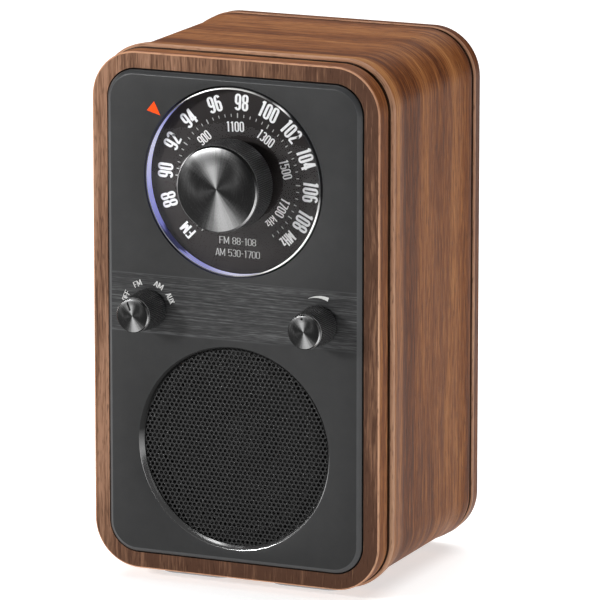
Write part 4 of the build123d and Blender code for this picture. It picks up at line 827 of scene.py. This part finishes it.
def lettering(text, height, width, weight=1.0):
    """Flat mesh of a word centred on the origin, in mm. Crossing strokes lie a hair apart."""
    relative_width = {"M": 1.35, "-": 0.7, " ": 0.6, "1": 0.80, "z": 0.85}
    field, gap = 0.46, 0.045
    pen_x, pen_z = 0.088 * weight, 0.062 * weight
    verts, faces = [], []
    cursor = 0.0
    layer = 0
    for char in text:
        span = field * relative_width.get(char, 1.0)
        if char != " ":
            for path in strokes_of(char, cursor + pen_x, cursor + span - pen_x, pen_z, 1 - pen_z):
                new_verts, new_faces = pen_stroke(path, pen_x, pen_z)
                faces += [tuple(len(verts) + k for k in face) for face in new_faces]
                verts += [(vx, vz, layer * INK_STEP) for vx, vz in new_verts]
                layer += 1
        cursor += span + gap
    total = cursor - gap
    scaled = [((x - total / 2) * width / total, (z - 0.5) * height, lift) for x, z, lift in verts]
    return scaled, faces


class Print:
    """Flat printing gathered into one piece, placed by clock angle and radius about a centre."""

    def __init__(self, x, y, z):
        self.origin = (x, y, z)
        self.verts, self.faces, self.slots = [], [], []

    def add(self, verts, faces, angle, radius, slot=0):
        x, y, z = self.origin
        turn = math.radians(angle)
        start = len(self.verts)
        for u, v, *lift in verts:
            up = radius + v
            px = u * math.cos(turn) + up * math.sin(turn)
            pz = -u * math.sin(turn) + up * math.cos(turn)
            self.verts.append(at(x + px, y - sum(lift), z + pz))
        self.faces += [tuple(start + k for k in face) for face in faces]
        self.slots += [slot] * len(faces)

    def bar(self, width, length, angle, radius, slot=0):
        w, h = width / 2, length / 2
        self.add([(-w, -h), (w, -h), (w, h), (-w, h)], [(0, 1, 2, 3)], angle, radius, slot)

    def make(self, name, materials, body):
        return add_piece(name, self.verts, self.faces, materials, body, (), self.slots, None, None)


def dial_printing():
    """Station numbers, band names and the ring of ticks, behind the clear disc."""
    ink = Print(DIAL_X, DIAL_PRINT_Y, DIAL_Z)
    stations = [("88", -108.6), ("90", -87.0), ("92", -64.2), ("94", -42.0), ("96", -18.3), ("98", 3.2)]
    stations += [("100", 25.2), ("102", 47.2), ("104", 69.8), ("106", 94.0), ("108", 116.8)]
    for text, angle in stations:
        ink.add(*lettering(text, 6.1, 5.4 if len(text) == 2 else 7.6), angle, 28.6)
    for text, angle, width in (("FM", -135.0, 5.2), ("MHz", 135.5, 5.6)):
        ink.add(*lettering(text, 4.4, width), angle, 28.0)
    inner = [("530", -118.0), ("700", -82.0), ("900", -42.0), ("1100", -2.7), ("1300", 34.4), ("1500", 73.9)]
    for text, angle in inner + [("1700", 116.3)]:
        ink.add(*lettering(text, 3.75, 1.75 * len(text), 0.85), angle, 19.6)
    for text, angle, width in (("AM", -136.0, 3.6), ("kHz", 137.0, 4.2)):
        ink.add(*lettering(text, 2.9, width, 0.8), angle, 19.2)
    for angle in range(-144, 145, 6):
        major = angle % 30 == 0
        ink.bar(0.42 if major else 0.3, 1.75 if major else 1.1, angle, 23.7, 1)
    for text, drop, width in (("FM 88-108", -22.3, 14.5), ("AM 530-1700", -26.8, 17.5)):
        ink.add(*lettering(text, 2.6, width, 0.50), 0.0, drop, 1)
    ink.make("dial_numbers", [WHITE_INK, SCRIPT_INK], "dial")


def panel_printing():
    """Pointer, selector names and the tapered volume arc, printed on the panel."""
    pointer = Print(0.0, PANEL_PRINT_Y - 0.02, 0.0)
    pointer.add([(-31.05, 174.12), (-33.87, 170.63), (-28.59, 169.15)], [(0, 1, 2)], 0.0, 0.0)
    pointer.make("tuning_pointer", [RED_INK], "cabinet")
    names = Print(SELECTOR_X, PANEL_PRINT_Y, SELECTOR_Z)
    positions = (("OFF", -66.0, 4.0), ("FM", -26.0, 3.3), ("AM", 25.0, 3.7), ("AUX", 63.0, 4.0))
    for text, angle, width in positions:
        names.add(*lettering(text, 2.15, width, 0.72), angle, 9.8)
    names.make("selector_names", [LABEL_INK], "cabinet")
    swell = Print(VOLUME_X, PANEL_PRINT_Y, VOLUME_Z)
    steps = 24
    verts, faces = [], []
    for k in range(steps + 1):
        t = k / steps
        turn = math.radians(-25 + 46 * t)
        for radius in (10.12 - 0.70 * t, 10.16 + 0.74 * t):
            verts.append((radius * math.sin(turn), radius * math.cos(turn)))
    for k in range(steps):
        faces.append((2 * k, 2 * k + 2, 2 * k + 3, 2 * k + 1))
    swell.add(verts, faces, 0.0, 0.0)
    swell.make("volume_arc", [LABEL_INK], "cabinet")


# ---- dial
def dial():
    """Clear lens with a turned edge, its wall and edge glowing with painted light, and the printed face
    behind it.
    """
    r, front, face = LENS_RADIUS, LENS_FRONT_Y, DIAL_FACE_Y
    place = (DIAL_X, DIAL_Z)
    lens = [(0.0, front), (12.0, front), (r - 0.55, front), (r - 0.12, front + 0.15), (r, front + 0.5)]
    lens_finishes = [ACRYLIC, LENS_BEVEL_PAINTED]
    lathe("dial_glass", lens, *place, 192, lens_finishes, "dial", "dial_clear", ["dial_lens"], [0, 0, 1, 1])
    wall = [(r - 0.02, front + 0.5), (r - 0.02, 0.2), (r - 0.02, face - 0.4), (r - 0.15, face)]
    lathe("dial_glass_wall", wall, *place, 192, [LENS_WALL_PAINTED], "dial", "dial_clear")
    plate = [(0.0, face), (20.0, face), (r - 0.1, face), (r - 0.1, face + 2.0), (0.0, face + 2.0)]
    lathe("dial_face_plate", plate, *place, 128, [DIAL_FACE], "dial", "dial_print", ["dial_plate"])


# ---- knobs
def knob(prefix, x, z, radius_front, radius_back, face_radius, front_y, back_y, teeth, depth):
    """Knurled side and spun cap of one knob. Its body and its CAD nodes share its name."""
    body = prefix + "_knob"
    cap_node = body + "_cap"
    seat = front_y + CAP_DEPTH
    side = [(face_radius - 0.6, seat - 0.1), (radius_front - 0.3, seat, 0.0)]
    side += [(radius_front, seat + 0.3, depth)]
    side += [(radius_front + 0.01, seat + 0.5, depth), (radius_back, back_y - 0.35, depth)]
    side += [(radius_back - 0.3, back_y, 0.0), (radius_back - 1.6, back_y, 0.0)]
    side += [(radius_back - 1.6, back_y - 3.0, 0.0)]
    side_finishes = [KNOB_SIDE, KNOB_BEAD_HIGHLIGHT, KNOB_RIDGE_HIGHLIGHT]
    bands = [0, 1, 1, 0, 0, 0, 0]
    lathe(prefix + "_side", side, x, z, 0, side_finishes, body, "knob_side", [body], bands, teeth, 20.0)
    # Both cap finishes carry painted wedge highlights; the bevel's sit at 10 and 4 o'clock.
    spun = spun_metal_painted_wedges(prefix + "_spun", cap_node, grey(0.014), grey(0.31), 0.34)
    bevel = spun_metal_painted_wedges(prefix + "_bevel", cap_node, grey(0.06), grey(0.50), 0.22, -65.0)
    flare = radius_front - 0.18
    cap = [(0.0, front_y), (face_radius * 0.5, front_y), (face_radius - 0.08, front_y)]
    cap += [(face_radius, front_y + 0.04), (flare, front_y + 0.62), (flare, front_y + 1.1)]
    cap += [(flare - 0.4, seat)]
    bands = [0, 0, 0, 1, 1, 1]
    lathe(prefix + "_cap", cap, x, z, 160, [spun, bevel], body, "spun_cap", [cap_node], bands, 0, 30.0)


def knobs():
    """Tuning knob, the two alike control knobs, and the marks on those two."""
    large = dict(radius_front=16.0, radius_back=16.2, face_radius=15.2, back_y=-2.4, teeth=132, depth=0.30)
    small = dict(radius_front=6.55, radius_back=7.3, face_radius=6.0, back_y=-2.2, teeth=64, depth=0.16)
    knob("tuning", DIAL_X, DIAL_Z, front_y=TUNING_FRONT_Y, **large)
    for prefix, x, z in (("volume", VOLUME_X, VOLUME_Z), ("selector", SELECTOR_X, SELECTOR_Z)):
        knob(prefix, x, z, front_y=CONTROL_FRONT_Y, **small)
    mark_y = CONTROL_FRONT_Y - 0.015
    line = Print(SELECTOR_X, mark_y, SELECTOR_Z)
    line.bar(0.75, 3.3, -22.0, 3.7)
    line.make("selector_mark", [BLACK_INK], "selector_knob")
    dot = Print(VOLUME_X, mark_y, VOLUME_Z)
    dot_sides = 20
    dot.add(circle_loop(0.0, 0.0, 0.5, dot_sides), [tuple(range(dot_sides))], -8.0, 4.9)
    dot.make("volume_mark", [BLACK_INK], "volume_knob")


# ---- speaker grille
def speaker_grille():
    """Perforated sheet: round holes in staggered rows, cut from hexagonal cells."""
    pitch, hole, limit = 1.76, 0.63, 37.2
    bevel_width, bevel_depth = 0.07, 0.10
    corners = 6
    row_step = pitch * math.sqrt(3) / 2
    cell = pitch / math.sqrt(3)
    flat = cell * math.cos(math.pi / corners)
    verts, faces, slots, known = [], [], [], {}

    def point(middle, angle, reach, y):
        x = middle[0] + reach * math.sin(angle)
        z = middle[1] + reach * math.cos(angle)
        key = (round(x, 3), round(y, 3), round(z, 3))
        if key not in known:
            known[key] = len(verts)
            verts.append(at(x, y, z))
        return known[key]

    rows = int(limit / row_step)
    for row in range(-rows, rows + 1):
        for column in range(-rows, rows + 1):
            x = (column + 0.5 * (row % 2)) * pitch
            z = row * row_step
            if math.hypot(x, z) > limit:
                continue
            rims = []
            for k in range(2 * corners):
                angle = math.pi * k / corners
                edge = flat if k % 2 else cell
                section = [(edge, GRILLE_Y), (hole + bevel_width, GRILLE_Y)]
                section += [(hole, GRILLE_Y + bevel_depth), (hole, GRILLE_BACK_Y)]
                middle = (SPEAKER_X + x, SPEAKER_Z + z)
                rims.append([point(middle, angle, reach, y) for reach, y in section])
            for a, b in zip(rims, rims[1:] + rims[:1]):
                faces += [(a[i], a[i + 1], b[i + 1], b[i]) for i in range(3)]
                # The bevel strip round each hole takes the painted highlight finish.
                slots += [0, 1, 0]
    sheet = [GRILLE, GRILLE_EDGE_HIGHLIGHT]
    hides = ["speaker_grille"]
    add_piece("grille_sheet", verts, faces, sheet, "cabinet", hides, slots, None, 20.0)


# ---- parts kept from the frame
def metal(name, tint, roughness=0.35, grain=0.12):
    dark = tuple(c * 0.8 for c in tint)
    return speckled(name, dark, tint, grain, roughness, metallic=1.0, bump=0.1)


def plastic(name, tint, roughness=0.45, grain=0.3):
    dark = tuple(c * 0.8 for c in tint)
    return speckled(name, dark, tint, grain, roughness)


def dress_frame():
    """A finish for every CAD node that shows as it is. Those not listed are steel."""
    steel = metal("zinc_steel", (0.55, 0.55, 0.57))
    black_steel = metal("black_screw", (0.06, 0.06, 0.06), 0.4)
    nylon = plastic("nylon", (0.75, 0.74, 0.68))
    moulded = plastic("moulded_black", (0.03, 0.03, 0.031))
    copper = metal("copper_wire", (0.72, 0.34, 0.17), 0.3, 0.2)
    # Dark coil colour: painted shade inside the speaker.
    coil_shade = metal("dark_coil_painted_shade", (0.040, 0.016, 0.009), 0.4, 0.2)
    finishes = {
        "rear_cover": PANEL_PLAIN,
        "feet": RUBBER,
        "rear_screws": black_steel,
        "dc_jack": moulded,
        "aux_socket": moulded,
        "headphone_socket": moulded,
        "antenna_socket": metal("nickel", (0.68, 0.66, 0.61), 0.22),
        "corner_blocks": speckled("pine", (0.45, 0.30, 0.16), (0.62, 0.44, 0.26), 1.5, 0.7),
        "main_board": speckled("solder_mask", (0.02, 0.12, 0.05), (0.04, 0.19, 0.08), 1.2, 0.35),
        "heatsink": metal("extruded_aluminium", (0.6, 0.6, 0.62), 0.35, 0.4),
        "chips": plastic("epoxy", (0.025, 0.025, 0.026), 0.5),
        "capacitors": plastic("sleeve_blue", (0.03, 0.05, 0.16), 0.3),
        "ferrite_rod": plastic("ferrite_grey", (0.07, 0.07, 0.075), 0.5, 0.6),
        "ring_magnet": plastic("magnet_grey", (0.06, 0.06, 0.065), 0.55, 0.8),
        "antenna_coil": copper,
        "voice_coil": coil_shade,
        "rod_clips": nylon,
        "dial_gear": nylon,
        "idler_gear": nylon,
        "tuning_pot_gear": nylon,
        "speaker_cone": speckled("paper_cone", (0.022, 0.022, 0.022), (0.04, 0.04, 0.04), 0.8, 0.85),
        "speaker_dust_cap": speckled("paper_cap", (0.025, 0.025, 0.025), (0.045, 0.045, 0.045), 0.6, 0.8),
        "speaker_surround": plastic("soft_rubber", (0.02, 0.02, 0.02), 0.6),
        "speaker_spider": speckled("spider_weave", (0.42, 0.30, 0.12), (0.6, 0.45, 0.2), 0.6, 0.85),
        "speaker_gasket": speckled("foam", (0.03, 0.03, 0.03), (0.06, 0.06, 0.06), 0.5, 0.95),
        "speaker_basket": plastic("basket_paint", (0.09, 0.09, 0.09), 0.4),
    }
    for name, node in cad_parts.items():
        if node.hide_render:
            continue
        node.data.materials.clear()
        node.data.materials.append(finishes.get(name, steel))


# ---- floor, light, camera
def studio():
    """Pale floor, bright backdrop and soft lamps. Offsets and sizes of the lamps are in metres."""
    size = 3.0
    corners = [(-size, -size, 0), (size, -size, 0), (size, size, 0), (-size, size, 0)]
    mesh = bpy.data.meshes.new("floor")
    mesh.from_pydata(corners, [], [(0, 1, 2, 3)])
    floor = bpy.data.objects.new("floor", mesh)
    bpy.context.scene.collection.objects.link(floor)
    n = Nodes("floor_white")
    haze = n.noise(n.scaled(n.place(), 3.0), 2.0)
    shade = n.ramp(haze, [(0.3, (0.70, 0.70, 0.70)), (0.7, (0.73, 0.73, 0.73))])
    n.link(shade, n.bsdf.inputs["Emission Color"])
    mesh.materials.append(n.finish(shade, 0.9, Emission_Strength=0.85, Specular_IOR_Level=0.1))

    world = bpy.data.worlds.new("studio")
    bpy.context.scene.world = world
    world.use_nodes = True
    tree = world.node_tree
    backdrop = tree.nodes["Background"]
    backdrop.inputs["Color"].default_value = (1.0, 1.0, 1.0, 1.0)
    seen = tree.nodes.new("ShaderNodeLightPath")
    level = tree.nodes.new("ShaderNodeMapRange")
    tree.links.new(seen.outputs["Is Camera Ray"], level.inputs["Value"])
    level.inputs["To Min"].default_value = 0.11
    level.inputs["To Max"].default_value = 1.0
    tree.links.new(level.outputs["Result"], backdrop.inputs["Strength"])

    middle = at(0, 45, 95)
    lamps = [
        ("key", (-0.60, -0.88, 0.34), 0.15, 8.5),
        ("strip", (-1.25, 0.12, 0.40), 0.45, 1.6),
        ("fill", (1.25, 0.15, 0.45), 0.70, 1.7),
    ]
    for name, offset, width, power in lamps:
        light = bpy.data.lights.new(name, "AREA")
        light.shape = "SQUARE"
        light.size = width
        light.energy = power
        lamp = bpy.data.objects.new(name, light)
        bpy.context.scene.collection.objects.link(lamp)
        lamp.location = middle + Vector(offset)
        lamp.rotation_euler = (middle - lamp.location).to_track_quat("-Z", "Y").to_euler()
    sky = bpy.data.lights.new("overhead", "SUN")
    sky.energy = 3.0
    sky.angle = math.radians(70)
    lamp = bpy.data.objects.new("overhead", sky)
    bpy.context.scene.collection.objects.link(lamp)
    lamp.rotation_euler = Vector((0.10, -0.45, -1.0)).to_track_quat("-Z", "Y").to_euler()


def camera():
    """Long lens, turned and raised to the photograph's viewing angle."""
    azimuth, elevation = math.radians(VIEW_AZIMUTH), math.radians(VIEW_ELEVATION)
    level = math.cos(elevation)
    back = Vector((math.sin(azimuth) * level, -math.cos(azimuth) * level, math.sin(elevation)))
    right = Vector((math.cos(azimuth), math.sin(azimuth), 0))
    up = back.cross(right)
    aim = at(0, AIM_Y, AIM_Z) + right * AIM_RIGHT * MM - up * AIM_DOWN * MM
    data = bpy.data.cameras.new("camera")
    data.sensor_width = 36.0
    data.lens = VIEW_LENS
    data.clip_end = 20.0
    holder = bpy.data.objects.new("camera", data)
    bpy.context.scene.collection.objects.link(holder)
    facing = Matrix((right, up, back)).transposed().to_4x4()
    holder.matrix_world = Matrix.Translation(aim + back * VIEW_DISTANCE) @ facing
    bpy.context.scene.camera = holder
    bpy.context.scene.view_settings.view_transform = "Standard"


front_ring()
sleeve()
rear_ring()
front_panel()
speaker_grille()
dial()
dial_printing()
panel_printing()
knobs()
dress_frame()
studio()
camera()
